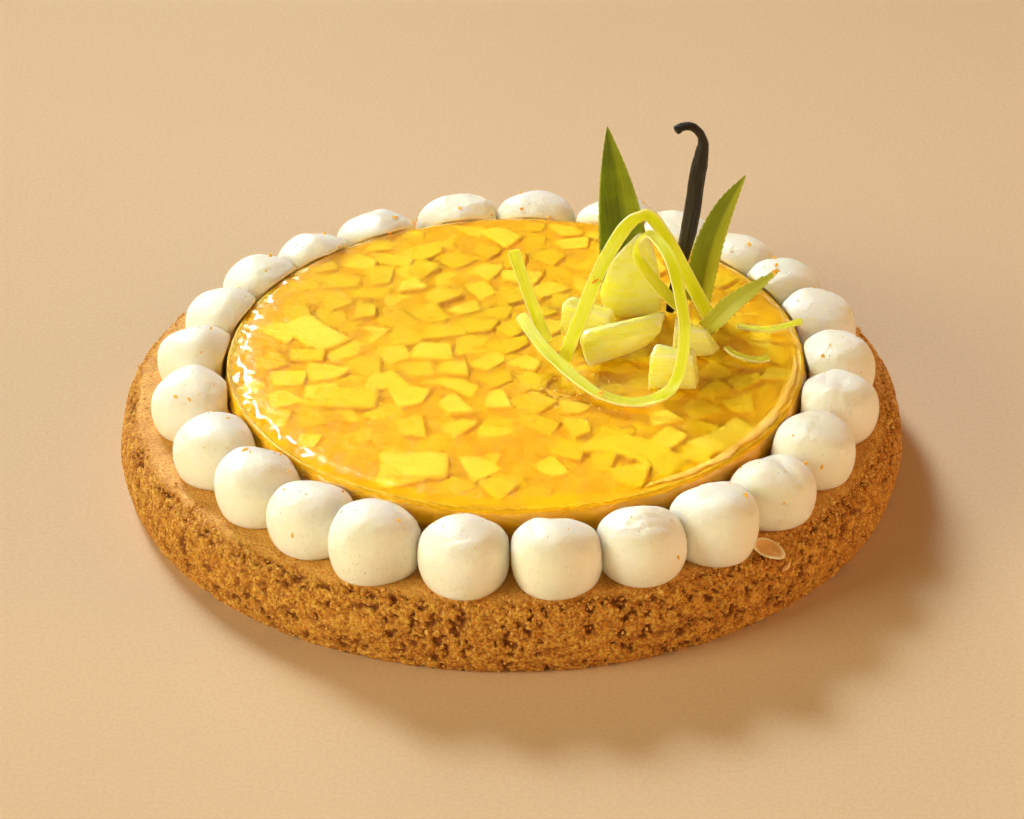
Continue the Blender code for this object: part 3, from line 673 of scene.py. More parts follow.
def leaf_material():
    """Stiff leaves: olive green with fine lengthwise ribs, a yellow green heart and edge, the lit half of the
    fold painted paler as painted light, brown freckles.
    """
    material, tree, shader = food("crown_leaf", Specular_IOR_Level=0.5, Subsurface_Weight=0.12,
                                  Subsurface_Scale=0.002, Subsurface_Radius=(0.6, 1.0, 0.1))
    grain = marked_vector(tree, "grain")
    ribs = fibrous(tree, grain, 0.0005, 0.03)
    place = object_place(tree)
    base = mottled(tree, place, 0.008, 0.001, 0.12, colour(98, 122, 2), colour(76, 96, 0))
    # pale carries the yellow green heart and also the painted light on the lit half of the fold.
    light = mixed(tree, marked(tree, "pale"), base["Color"], colour(216, 216, 70))
    ribbed = mixed(tree, computed(tree, "MULTIPLY", ribs["Mask"], 0.18), light, colour(186, 188, 40))
    edge = spread(tree, marked(tree, "edge"), 0.86, 1.0, 0.0, 0.6)
    edged = mixed(tree, edge, ribbed, colour(214, 208, 96))
    freckle = spread(tree, noise(tree, place, 0.0016, 1.0), 0.72, 0.78, 0.0, 0.7)
    dress(tree, shader, mixed(tree, freckle, edged, colour(120, 84, 30)),
          spread(tree, ribs["Mask"], 0.0, 1.0, 0.34, 0.5))
    bump(tree, shader, ribs["Height"], 0.0003)
    return material


def pod_material():
    """Nearly black brown pod: oily and wrinkled, with a grey glint on its ridges."""
    material, tree, shader = food("pod_skin", Specular_IOR_Level=0.4, Coat_Weight=0.15, Coat_Roughness=0.25)
    wrinkles = fibrous(tree, marked_vector(tree, "grain"), 0.0006, 0.06)
    tone = mixed(tree, wrinkles["Mask"], colour(10, 6, 4), colour(28, 18, 12))
    dress(tree, shader, tone, spread(tree, wrinkles["Mask"], 0.0, 1.0, 0.28, 0.5))
    bump(tree, shader, wrinkles["Height"], 0.0008)
    return material


def almond_material():
    """Toasted almond: tan, browner in the middle and pale at the rim."""
    material, tree, shader = food("toasted_almond", Specular_IOR_Level=0.35)
    place = object_place(tree)
    body = mottled(tree, place, 0.003, 0.0006, 0.2, colour(244, 192, 122), colour(230, 170, 98))
    rim = spread(tree, marked(tree, "edge"), 0.72, 0.98)
    dress(tree, shader, mixed(tree, rim, body["Color"], colour(255, 238, 196)),
          spread(tree, body["Fine Mask"], 0.3, 0.7, 0.5, 0.7))
    bump(tree, shader, body["Fine Mask"], 0.0002)
    return material


def zest_material():
    """Grated orange zest."""
    material, tree, shader = food("orange_zest", Specular_IOR_Level=0.4)
    tint = mottled(tree, object_place(tree), 0.001, 0.0003, 0.15, colour(255, 210, 80), colour(252, 188, 44))
    dress(tree, shader, tint["Color"], spread(tree, tint["Fine Mask"], 0.3, 0.7, 0.35, 0.5))
    return material


def seed_material():
    """Vanilla seeds, black brown."""
    material, tree, shader = food("vanilla_seed", Specular_IOR_Level=0.5)
    tint = mottled(tree, object_place(tree), 0.001, 0.0002, 0.2, colour(52, 38, 26), colour(28, 20, 14))
    dress(tree, shader, tint["Color"], spread(tree, tint["Fine Mask"], 0.3, 0.7, 0.3, 0.5))
    return material


def shoulder_height(radius):
    """The height of the biscuit's top at a radius, where it rounds off past its corner."""
    over = np.clip(radius - CRUST_CORNER, 0.0, CRUST_EDGE_ROUND)
    return CRUST_TOP - CRUST_EDGE_ROUND + np.sqrt(CRUST_EDGE_ROUND ** 2 - over ** 2)


def crust_profile():
    """The biscuit's outline (radius, height) at even steps, from its top's inside to its foot."""
    bend = np.radians(np.linspace(90.0, 8.0, 16))
    line = [(CRUST_INNER_RADIUS, CRUST_TOP), (CRUST_CORNER, CRUST_TOP)]
    line += [(CRUST_CORNER + CRUST_EDGE_ROUND * math.cos(a),
              CRUST_TOP - CRUST_EDGE_ROUND * (1.0 - math.sin(a))) for a in bend[1:]]
    line += [(CRUST_RADIUS, CRUST_WIDEST_HEIGHT), (CRUST_RADIUS - 0.0008, 0.0050),
             (CRUST_FOOT_RADIUS + 0.0012, 0.0015), (CRUST_FOOT_RADIUS, 0.0), (CRUST_FOOT_RADIUS - 0.004, 0.0)]
    line = np.array(line)
    length = np.concatenate([[0.0], np.cumsum(np.linalg.norm(np.diff(line, axis=0), axis=1))])
    flat = CRUST_CORNER - CRUST_INNER_RADIUS
    at = np.concatenate([np.linspace(0.0, flat - 0.003, 16, endpoint=False),
                         np.linspace(flat - 0.003, length[-1], 68)])
    return np.stack([np.interp(at, length, line[:, 0]), np.interp(at, length, line[:, 1])], axis=1), at - flat


def crust_relief(points, beyond_edge):
    """How far each point of the biscuit's skin lies in, in metres, how much painted shade its hollows and
    seams take, and how smooth it is.

    Small crumbs bulge round their middles, where two sizes of noise add up high the crumb is hollowed into
    ragged holes, and finer noise pits it. It all fades in past the top's edge, sooner in some places.
    """
    wander = 0.0018 * layered_noise(points, 0.009, CRUST_SEED)
    rough = ease(beyond_edge + wander, 0.0010, 0.0042)
    stray = np.stack([smooth_noise(points, 0.0012, CRUST_SEED + k) for k in (1, 2, 3)], axis=-1)
    warped = points + 0.0006 * stray
    grain, grain_tag = cell_noise(warped, 0.0012, CRUST_SEED + 20)
    holes = 0.60 * smooth_noise(warped, 0.0024, CRUST_SEED + 30)
    holes = holes + 0.55 * smooth_noise(warped, 0.0012, CRUST_SEED + 31)
    clumps = smooth_noise(points, 0.0070, CRUST_SEED + 40)
    sunk = ease(holes + 0.18 * clumps, 0.10, 0.55)
    lower = ease(grain_tag, 0.65, 0.95)
    swell = 0.0006 * (0.5 + 0.5 * layered_noise(points, 0.016, CRUST_SEED + 50))
    pits = ease(smooth_noise(warped, 0.0008, CRUST_SEED + 33), 0.15, 0.65)
    bulge = 0.00030 * lower + 0.00035 * grain ** 2
    inward = rough * (0.0002 + swell + 0.00130 * sunk + 0.00045 * pits + bulge)
    inward = inward + (1.0 - rough) * 0.00010 * (1.0 + layered_noise(points, 0.0012, CRUST_SEED + 60))
    # Painted shade: the sunk holes, the pits, the lower crumbs and the seams between crumbs are marked for
    # dark colour.
    seams = 0.25 * lower + 0.15 * ease(grain, 0.5, 0.9)
    hollow_shade = rough * np.clip(0.75 * sunk + 0.30 * pits + seams, 0.0, 1.0)
    return inward, hollow_shade, 1.0 - rough


def make_crust(material):
    """The biscuit: its outline turned about Z, then broken up along its outward direction."""
    profile, beyond_edge = crust_profile()
    azimuth = full_turn(CRUST_COLUMNS)
    ahead = np.gradient(profile, axis=0)
    ahead /= np.linalg.norm(ahead, axis=1)[:, None]
    normal = np.stack([-ahead[:, 1], ahead[:, 0]], axis=1)
    radius = profile[:, 0][:, None] * np.ones(CRUST_COLUMNS)
    height = profile[:, 1][:, None] * np.ones(CRUST_COLUMNS)
    points = round_z(radius, azimuth, height)
    inward, hollow_shade, top = crust_relief(points, beyond_edge[:, None])
    underside = (height < 0.0004)
    radius = radius - inward * normal[:, 0][:, None] - np.where(underside, inward, 0.0)
    height = np.where(underside, height, np.clip(height - inward * normal[:, 1][:, None], 0.0, None))
    points = round_z(radius, azimuth, height)
    marks = {"hollow_shade": hollow_shade, "top": top * np.ones_like(radius)}
    closed_piece("biscuit_base", points, material, "biscuit", "crust", marks=marks)


def make_crumbs(material):
    """Loose crumbs on the biscuit's shoulder, most of them where its edge has broken at the right."""
    chance = np.random.default_rng(CRUMB_SEED)
    count = CRUMB_COUNT
    azimuth = np.where(chance.random(count) < 0.45, chance.normal(math.radians(-28.0), 0.5, count),
                       chance.uniform(0.0, 2.0 * math.pi, count))
    radius = CRUST_RADIUS - chance.triangular(0.0022, 0.0048, 0.0110, count)
    height = shoulder_height(radius)
    size = 0.00022 + 0.00050 * chance.random(count) ** 3
    half = size[:, None] * chance.uniform(0.7, 1.3, (count, 3))
    shapes = spun(rounded_block(4, 6, 3.0)[None] * half[:, None, None, :], chance, 0.8)
    sink = 0.4 * size + 0.0005 * ease(radius, CRUST_CORNER + 0.001, CRUST_CORNER + 0.005)
    places = round_z(radius, azimuth, height - sink)
    marks = {"tone": chance.random(count)}
    scattered_piece("loose_crumbs", shapes, places, material, "biscuit", marks)


def make_side_crumbs(material):
    """Crumbs that stand out of the biscuit's side, scattered over it and half sunk."""
    chance = np.random.default_rng(SIDE_CRUMB_SEED)
    count = SIDE_CRUMB_COUNT
    profile, beyond_edge = crust_profile()
    along = chance.uniform(0.0010, beyond_edge[-1] - 0.0046, count)
    radius = np.interp(along, beyond_edge, profile[:, 0])
    height = np.interp(along, beyond_edge, profile[:, 1])
    azimuth = chance.uniform(0.0, 2.0 * math.pi, count)
    size = 0.00018 + 0.00046 * chance.random(count) ** 2.5
    half = size[:, None] * chance.uniform(0.6, 1.4, (count, 3))
    shapes = rounded_block(4, 6, 3.2)[None] * half[:, None, None, :]
    radius = radius - 0.0009 - 0.55 * size
    height = np.maximum(height - 0.0006 * ease(height, CRUST_TOP - 0.004, CRUST_TOP), size * 1.5)
    places = round_z(radius, azimuth, height)
    marks = {"tone": 0.05 + 0.75 * chance.random(count) ** 1.3}
    scattered_piece("side_crumbs", spun(shapes, chance, 1.5), places, material, "biscuit", marks)


def cream_azimuths():
    return CREAM_FIRST_AZIMUTH + 360.0 / CREAM_COUNT * np.arange(CREAM_COUNT) + np.array(CREAM_DRIFT)


def soft_limit(value, limit):
    """Value, held smoothly under a limit of the same sign."""
    ratio = np.abs(value) / limit
    return value / (1.0 + ratio ** CREAM_PRESS) ** (1.0 / CREAM_PRESS)


def jelly_wall(height):
    """The jelly's radius at each height: upright, then round at its shoulder."""
    above = np.clip(height - (JELLY_TOP - JELLY_SHOULDER), 0.0, JELLY_SHOULDER)
    return JELLY_RADIUS - JELLY_SHOULDER + np.sqrt(JELLY_SHOULDER ** 2 - above ** 2)


def cream_profile(turn):
    """Reach (0 to 1) and height (in metres) down a dollop's side, turn running from crown 0 to base 1."""
    waist, foot = 0.60, 0.86
    dome = np.clip(turn / waist, 0.0, 1.0) * math.pi / 2
    tuck = np.clip((turn - waist) / (foot - waist), 0.0, 1.0)
    under = np.clip((turn - foot) / (1.0 - foot), 0.0, 1.0)
    reach = np.sin(dome) ** 0.86 * (1.0 - CREAM_UNDERCUT * tuck ** 2) * (1.0 - under)
    height = CREAM_WIDEST_HEIGHT + (CREAM_HEIGHT - CREAM_WIDEST_HEIGHT) * np.cos(dome) ** 0.80
    return reach, np.where(turn > waist, CREAM_WIDEST_HEIGHT * (1.0 - tuck), height)


def cream_surface(k, manner, turn, heading):
    """Points of one dollop for a turn from crown to base and a heading round it, and their place along it.

    It is round outside and narrows to a lower tail that reaches in to the jelly. Its neighbours press it
    flat along the planes half way to them, and the jelly presses its tail. Slow noise dents it a little.
    """
    size, lean, swell = manner[k]
    azimuths = cream_azimuths()
    before = math.radians((azimuths[k] - azimuths[k - 1]) % 360.0) / 2
    after = math.radians((azimuths[(k + 1) % CREAM_COUNT] - azimuths[k]) % 360.0) / 2
    cosine, sine = np.cos(heading), np.sin(heading)
    reach, height = cream_profile(turn)
    reach = reach * (1.0 + CREAM_RIPPLE * np.cos(CREAM_SWELLS * np.arctan2(sine, cosine) + swell))
    along = reach * cosine * np.where(cosine > 0, CREAM_OUTER_REACH * size, CREAM_TAIL_REACH)
    tail = np.clip(-along / CREAM_TAIL_REACH, 0.0, 1.0)
    across = reach * sine * CREAM_HALF_WIDTH * (1.0 - CREAM_TAPER * tail ** 1.6)
    height = height * size * (1.0 - CREAM_TAIL_DROP * tail ** 1.5)
    crown = np.clip(height / CREAM_HEIGHT, 0.0, 1.0) ** 2
    across = across + lean * crown
    if k + 1 == CREASED_CREAM:
        crease = across - 0.0030 + 0.25 * along
        height = height - CREASE_DEPTH * crown * np.exp(-(crease / CREASE_WIDTH) ** 2)
    piping = np.stack([along, across, np.full_like(along, 0.05 * k)], axis=-1)
    dents = 0.00090 * crown * (smooth_noise(piping * (0.7, 1.0, 1.0), 0.0058, CREAM_DENT_SEED) - 0.5)
    folds = 1.0 - np.abs(smooth_noise(piping * (0.8, 0.4, 1.0), 0.0045, CREAM_DENT_SEED + 5))
    folded = ease(smooth_noise(piping, 0.009, CREAM_DENT_SEED + 6), -0.2, 0.4)
    dents = dents - 0.00045 * crown * folds ** 8 * folded
    height = height + dents
    distance = CREAM_RING_RADIUS + CREAM_SHIFT[k] + along
    limit = np.where(across > 0, distance * math.tan(after), distance * math.tan(before))
    across = soft_limit(across, limit - CREAM_TOUCH / 2)

    flat = np.stack(swung(distance, across, math.radians(azimuths[k])), axis=-1) + CREAM_RING_CENTRE
    z = CRUST_TOP + GAP + height
    out = flat - JELLY_CENTRE
    off = np.linalg.norm(out, axis=-1)
    wall = jelly_wall(z) + GAP
    held = wall + CREAM_TAIL_SQUEEZE * np.logaddexp(0.0, (off - wall) / CREAM_TAIL_SQUEEZE)
    flat = JELLY_CENTRE + out * (held / off)[..., None]
    return np.concatenate([flat, z[..., None]], axis=-1), piping


def cream_manner():
    """Each dollop's size, its lean and where its outline swells, drawn in turn."""
    chance = np.random.default_rng(CREAM_SEED)
    manner = []
    for k in range(CREAM_COUNT):
        manner.append((CREAM_SIZE.get(k + 1, 1.0) + CREAM_SIZE_SPREAD * chance.uniform(-1.0, 1.0),
                       CREAM_LEAN * chance.uniform(-1.0, 1.0), chance.uniform(0.0, 2.0 * math.pi)))
    return manner


def make_creams(material):
    manner = cream_manner()
    turn = (np.arange(CREAM_ROWS) + 0.5) / CREAM_ROWS
    heading = full_turn(CREAM_COLUMNS)
    turn, heading = np.meshgrid(turn, heading, indexing="ij")
    for k in range(CREAM_COUNT):
        points, piping = cream_surface(k, manner, turn, heading)
        closed_piece("dollop_%02d" % (k + 1), points, material, "cream", "cream_%02d" % (k + 1),
                     marks={"piping": piping})


def make_cream_specks(zest, seeds):
    """Flecks of zest and seeds of vanilla, half sunk in the dollops' skins at random turns and headings."""
    manner = cream_manner()
    chance = np.random.default_rng(SPECK_SEED)
    for name, material, each, sizes, shape in (
            ("zest_flecks", zest, 6, (0.00028, 0.00100), (1.2, 0.9, 0.35)),
            ("seed_specks", seeds, 7, (0.00009, 0.00017), (1.0, 1.0, 0.7))):
        places = []
        for k in range(CREAM_COUNT):
            turn = chance.uniform(0.05, 0.72, each)
            heading = chance.uniform(0.0, 2.0 * math.pi, each)
            places.append(cream_surface(k, manner, turn, heading)[0])
        places = np.concatenate(places)
        size = sizes[0] + (sizes[1] - sizes[0]) * chance.random(len(places)) ** 2
        shapes = rounded_block(4, 6, 2.6)[None] * size[:, None, None, None] * np.array(shape)
        scattered_piece(name, spun(shapes, chance, 1.5), places, material, "cream")


def jelly_profile():
    """The jelly's outline (radius, height) from near its top's middle, over its shoulder, to its foot."""
    corner = JELLY_RADIUS - JELLY_SHOULDER
    bend = np.radians(np.linspace(90.0, 0.0, 26))
    top = np.linspace(0.004, corner, 70, endpoint=False)
    side = np.linspace(JELLY_TOP - JELLY_SHOULDER, JELLY_FOOT, 14)[1:]
    foot = np.linspace(JELLY_RADIUS - 0.0020, 0.010, 6)
    radius = np.concatenate([top, corner + JELLY_SHOULDER * np.cos(bend), np.full(13, JELLY_RADIUS), foot])
    height = np.concatenate([np.full(70, JELLY_TOP), JELLY_TOP - JELLY_SHOULDER * (1.0 - np.sin(bend)), side,
                             np.full(6, JELLY_FOOT)])
    return radius, height


def make_jelly(material):
    """The clear jelly: its outline turned about its middle, its skin rippled, most at its left rim."""
    radius, height = jelly_profile()
    azimuth = full_turn(JELLY_COLUMNS)
    radius = radius[:, None] * np.ones(JELLY_COLUMNS)
    height = height[:, None] * np.ones(JELLY_COLUMNS)
    place = round_z(radius, azimuth, height)
    rim = ease(radius, JELLY_RADIUS - 0.012, JELLY_RADIUS - 0.003)
    from_left = np.abs(azimuth - math.radians(178.0)) / math.radians(34.0)
    broken = 0.00065 * (0.25 + 0.75 * np.exp(-from_left ** 2))
    ripple = 0.00016 * (1.0 + layered_noise(place, 0.011, JELLY_SEED))
    ripple = ripple + rim * broken * (1.0 + smooth_noise(place, 0.0024, JELLY_SEED + 4))
    upper = ease(height, JELLY_FOOT + 0.001, JELLY_TOP - JELLY_SHOULDER)
    height = np.where(height > JELLY_FOOT + 0.0001, height - ripple * upper, height)
    radius = radius - ripple * rim - 0.0002 * rim
    points = round_z(radius, azimuth, height)
    points[..., :2] += JELLY_CENTRE
    closed_piece("clear_jelly_disc", points, material, "jelly", "jelly")


def make_bed(material):
    """The amber body round the dice: a disc a little inside the jelly, its top lumpy where the dice lie."""
    corner = JELLY_RADIUS - BED_INSET - BED_ROUND
    rim_height = JELLY_TOP - BED_DEPTH
    bend = np.radians(np.linspace(90.0, 0.0, 7))
    foot = JELLY_FOOT + 0.0004
    flat = np.linspace(0.004, corner, 60, endpoint=False)
    radius = np.concatenate([flat, corner + BED_ROUND * np.cos(bend), [corner + BED_ROUND, corner, 0.010]])
    height = np.concatenate([np.full(60, rim_height), rim_height - BED_ROUND * (1.0 - np.sin(bend)),
                             [foot, foot, foot]])
    azimuth = full_turn(BED_COLUMNS)
    radius = radius[:, None] * np.ones(BED_COLUMNS)
    place = round_z(radius, azimuth, np.zeros_like(radius))
    inner = ease(corner - radius, 0.0, 0.006) * (height[:, None] >= rim_height)
    height = height[:, None] - inner * (0.0004 + 0.0009 * layered_noise(place, 0.012, BED_SEED))
    points = np.stack([JELLY_CENTRE[0] + place[..., 0], JELLY_CENTRE[1] + place[..., 1], height], axis=-1)
    # wall marks where the bed is painted lighter, as painted light through the jelly.
    wall = ease(radius, corner, corner + BED_ROUND)
    closed_piece("jelly_bed", points, material, "jelly", marks={"wall": wall})


def scattered_spots(chance, count, reach, spacing):
    """Spots in a circle, pushed apart step by step until they lie about evenly, their spacing kept uneven."""
    radius = reach * np.sqrt(chance.random(count))
    angle = chance.uniform(0.0, 2.0 * math.pi, count)
    spots = np.stack([radius * np.cos(angle), radius * np.sin(angle)], axis=1)
    for _ in range(60):
        apart = spots[:, None] - spots[None]
        distance = np.linalg.norm(apart, axis=-1) + np.eye(count)
        push = np.clip(1.0 - distance / spacing, 0.0, 1.0) * (1.0 - np.eye(count))
        spots = spots + 0.25 * spacing * (apart / distance[..., None] * push[..., None]).sum(axis=1)
        off = np.linalg.norm(spots, axis=1, keepdims=True)
        spots = np.where(off > reach, spots * reach / off, spots)
    return spots


def make_dice(material):
    """Diced fruit in two layers under the jelly's skin, each die a flat-faced block of its own proportions.

    Those at the rim are cut off along it, and lie a little deeper.
    """
    chance = np.random.default_rng(DICE_SEED)
    shapes, places, tones = [], [], []
    for count, deepest, shallowest, spacing in DICE_LAYERS:
        spots = scattered_spots(chance, count, JELLY_RADIUS - 0.0080, spacing)
        width = DIE_WIDTH * chance.uniform(0.72, 1.28, (count, 2))
        height = DIE_HEIGHT * chance.uniform(0.75, 1.15, count)
        half = np.stack([width[:, 0], width[:, 1] * 0.82, height], axis=1) / 2
        block = diced_block()[None] * np.ones((count, 1, 1, 1))
        taper = chance.uniform(-0.34, 0.34, (count, 2))[:, None, None, :]
        block[..., :2] *= 1.0 + taper * block[..., 1::-1]
        shapes.append(spun(block * half[:, None, None, :], chance, 0.10))
        depth = chance.uniform(shallowest, deepest, count)
        lowest = shapes[-1][..., 2].max(axis=(1, 2))
        middle = JELLY_TOP - 0.0006 - depth - lowest
        places.append(np.column_stack([spots + JELLY_CENTRE, middle]))
        tones.append(np.where(chance.random(count) < 0.38, chance.uniform(0.55, 1.0, count),
                              chance.uniform(0.0, 0.25, count)))
    slices = np.array(SLICES)
    block = diced_block()[None] * np.ones((len(slices), 1, 1, 1))
    block[..., 1] += slices[:, 5, None, None] * (block[..., 0] ** 2 - 0.5)
    along = block[..., 0] * slices[:, 2, None, None]
    across = block[..., 1] * slices[:, 3, None, None]
    turn = np.radians(slices[:, 4])[:, None, None]
    shapes.append(np.stack([*swung(along, across, turn), 0.5 * DIE_HEIGHT * block[..., 2]], axis=-1))
    places.append(np.column_stack([slices[:, :2], np.full(len(slices), JELLY_TOP - 0.0010 - DIE_HEIGHT / 2)]))
    tones.append(slices[:, 6])
    shapes, places = np.concatenate(shapes), np.concatenate(places)
    spots = shapes[..., :2] + (places[:, :2] - JELLY_CENTRE)[:, None, None]
    off = np.linalg.norm(spots, axis=-1, keepdims=True)
    held = spots * np.minimum(1.0, (JELLY_RADIUS - DICE_RIM) / off)
    shapes[..., :2] += held - spots
    shapes[..., 2:] -= DICE_SINK * ease(off, JELLY_RADIUS - 0.013, JELLY_RADIUS - DICE_RIM)
    marks = {"tone": np.concatenate(tones)}
    dice = scattered_piece("diced_fruit", shapes, places, material, "pineapple", marks)
    dice.data.shade_flat()


def make_froth(material):
    """A ridge of froth at the jelly's right rim, a bent tube of uneven girth, and bubbles in the jelly."""
    chance = np.random.default_rng(FROTH_SEED)
    rows, columns = 420, 16
    t = np.linspace(0.0, 1.0, rows)
    azimuth = np.radians(-64.0 + 62.0 * t)
    line = np.stack([JELLY_RADIUS * azimuth, 0 * t, 0 * t], axis=-1)
    radius = JELLY_RADIUS - 0.0046 + 0.0011 * layered_noise(line, 0.012, FROTH_SEED + 1)
    uneven = 0.75 + 0.45 * layered_noise(line, 0.006, FROTH_SEED + 2)
    girth = 0.0018 * uneven * np.sin(math.pi * t) ** 0.5 + 0.0001
    around = full_turn(columns)
    out = radius[:, None] + girth[:, None] * np.cos(around)
    up = JELLY_TOP - 0.0020 + 0.38 * girth[:, None] * np.sin(around)
    points = round_z(out, azimuth[:, None], up)
    ragged = np.stack([smooth_noise(points, 0.0010, FROTH_SEED + 3 + k) for k in range(3)], axis=-1)
    points = points + 0.00022 * ragged
    points[..., :2] += JELLY_CENTRE
    closed_piece("froth_ridge", points, material, "jelly")

    count = BUBBLE_COUNT
    places = np.stack([chance.normal(0.018, 0.011, count), chance.normal(-0.026, 0.007, count),
                       JELLY_TOP - chance.uniform(0.0002, 0.0007, count)], axis=1)
    size = 0.00012 + 0.00040 * chance.random(count) ** 3
    shapes = ball(4, 7)[None] * size[:, None, None, None]
    scattered_piece("jelly_froth", shapes, places, material, "jelly")


ZEST_SPOTS = ((0.0800, 0.0046, 0.0616), (0.0252, -0.0088, 0.0662), (0.0264, -0.0336, 0.0424))


def make_zest_bits(material):
    """Bits of zest caught on the low leaf's tip and on two strips of peel, a few close round each spot."""
    chance = np.random.default_rng(ZEST_SEED)
    each = 9
    count = each * len(ZEST_SPOTS)
    places = np.repeat(np.array(ZEST_SPOTS), each, axis=0) + chance.normal(0.0, 0.0007, (count, 3))
    size = chance.uniform(0.00025, 0.0006, count)
    shapes = rounded_block(5, 8, 3.0)[None] * size[:, None, None, None] * np.array((1.3, 0.8, 0.5))
    scattered_piece("zest_bits", spun(shapes, chance, 1.5), places, material, "peel")


CHUNKS = {
    "pineapple_front_wedge": [
        [(0.0224, -0.0169, GARNISH_FLOOR), (0.0400, -0.0062, 0.0411), (0.0450, -0.0020, 0.0425),
         (0.0235, -0.0060, GARNISH_FLOOR)],
        [(0.0201, -0.0097, 0.0455), (0.0450, -0.0072, 0.0470),
         (0.0470, -0.0012, 0.0495), (0.0215, -0.0045, 0.0455)],
        [(0.0211, -0.0085, 0.0481), (0.0468, -0.0022, 0.0522),
         (0.0468, -0.0008, 0.0518), (0.0218, -0.0050, 0.0480)]],
    "pineapple_front_cube": [
        [(0.0402, -0.0275, GARNISH_FLOOR), (0.0552, -0.0292, GARNISH_FLOOR), (0.0568, -0.0235, GARNISH_FLOOR),
         (0.0420, -0.0190, GARNISH_FLOOR)],
        [(0.0408, -0.0268, 0.0515), (0.0538, -0.0285, 0.0518),
         (0.0550, -0.0222, 0.0510), (0.0428, -0.0200, 0.0518)]],
    "pineapple_right_wedge": [
        [(0.0480, -0.0105, GARNISH_FLOOR), (0.0612, -0.0085, GARNISH_FLOOR), (0.0640, -0.0045, GARNISH_FLOOR),
         (0.0500, 0.0010, GARNISH_FLOOR)],
        [(0.0490, -0.0062, 0.0492), (0.0585, -0.0066, 0.0476),
         (0.0592, -0.0040, 0.0470), (0.0495, -0.0005, 0.0498)]],
    "pineapple_left_block": [
        [(0.0146, 0.0032, GARNISH_FLOOR), (0.0310, -0.0015, GARNISH_FLOOR), (0.0330, 0.0085, GARNISH_FLOOR),
         (0.0165, 0.0120, GARNISH_FLOOR)],
        [(0.0152, 0.0056, 0.0518), (0.0300, 0.0022, 0.0478),
         (0.0318, 0.0085, 0.0470), (0.0185, 0.0112, 0.0508)]],
    "pineapple_back_wedge": [
        [(0.0288, 0.0140, GARNISH_FLOOR), (0.0462, 0.0140, GARNISH_FLOOR), (0.0455, 0.0235, GARNISH_FLOOR),
         (0.0305, 0.0235, GARNISH_FLOOR)],
        [(0.0264, 0.0152, 0.0478), (0.0470, 0.0150, 0.0478),
         (0.0460, 0.0235, 0.0472), (0.0288, 0.0235, 0.0472)],
        [(0.0302, 0.0166, 0.0590), (0.0454, 0.0163, 0.0572),
         (0.0444, 0.0228, 0.0562), (0.0316, 0.0228, 0.0580)],
        [(0.0390, 0.0178, 0.0688), (0.0422, 0.0178, 0.0682),
         (0.0418, 0.0212, 0.0665), (0.0393, 0.0212, 0.0670)]]}


def chunk_surface(sections):
    """A cut block: a round-edged block whose height picks a place between sections, and whose width and
    depth pick one between that section's four corners."""
    sections = np.array(sections)
    block = rounded_block(46, 72, 14.0)
    x, y, z = (0.5 + 0.5 * block[..., axis] for axis in range(3))
    climb = z * (len(sections) - 1)
    lower = np.minimum(climb.astype(int), len(sections) - 2)
    share = (climb - lower)[..., None, None]
    corners = sections[lower] * (1.0 - share) + sections[lower + 1] * share
    weights = np.stack([(1 - x) * (1 - y), x * (1 - y), x * y, (1 - x) * y], axis=-1)[..., None]
    return (corners * weights).sum(axis=-2), block


def make_chunks(material):
    """The cut pineapple: flat faces pulled a little uneven along the fibres, which run the long way."""
    for number, (name, sections) in enumerate(CHUNKS.items()):
        points, block = chunk_surface(sections)
        middle = points.mean(axis=(0, 1))
        grain = block * np.array([0.009, 0.005, 0.005]) + number * 0.03
        furrow = smooth_noise(grain * (0.12, 1.0, 1.0), 0.0014, CHUNK_SEED + number)
        dent = smooth_noise(grain, 0.005, CHUNK_SEED + 10 + number)
        points = middle + (points - middle) * (1.0 + 0.020 * (furrow - 1.0) + 0.015 * (dent - 1.0))[..., None]
        # rim marks the edges of the top, which get a painted highlight.
        rim = np.sort(np.abs(block), axis=-1)[..., 1]
        closed_piece("cut_" + name, points, material, "pineapple", name,
                     marks={"grain": grain, "rim": rim * (block[..., 2] > 0.4)})


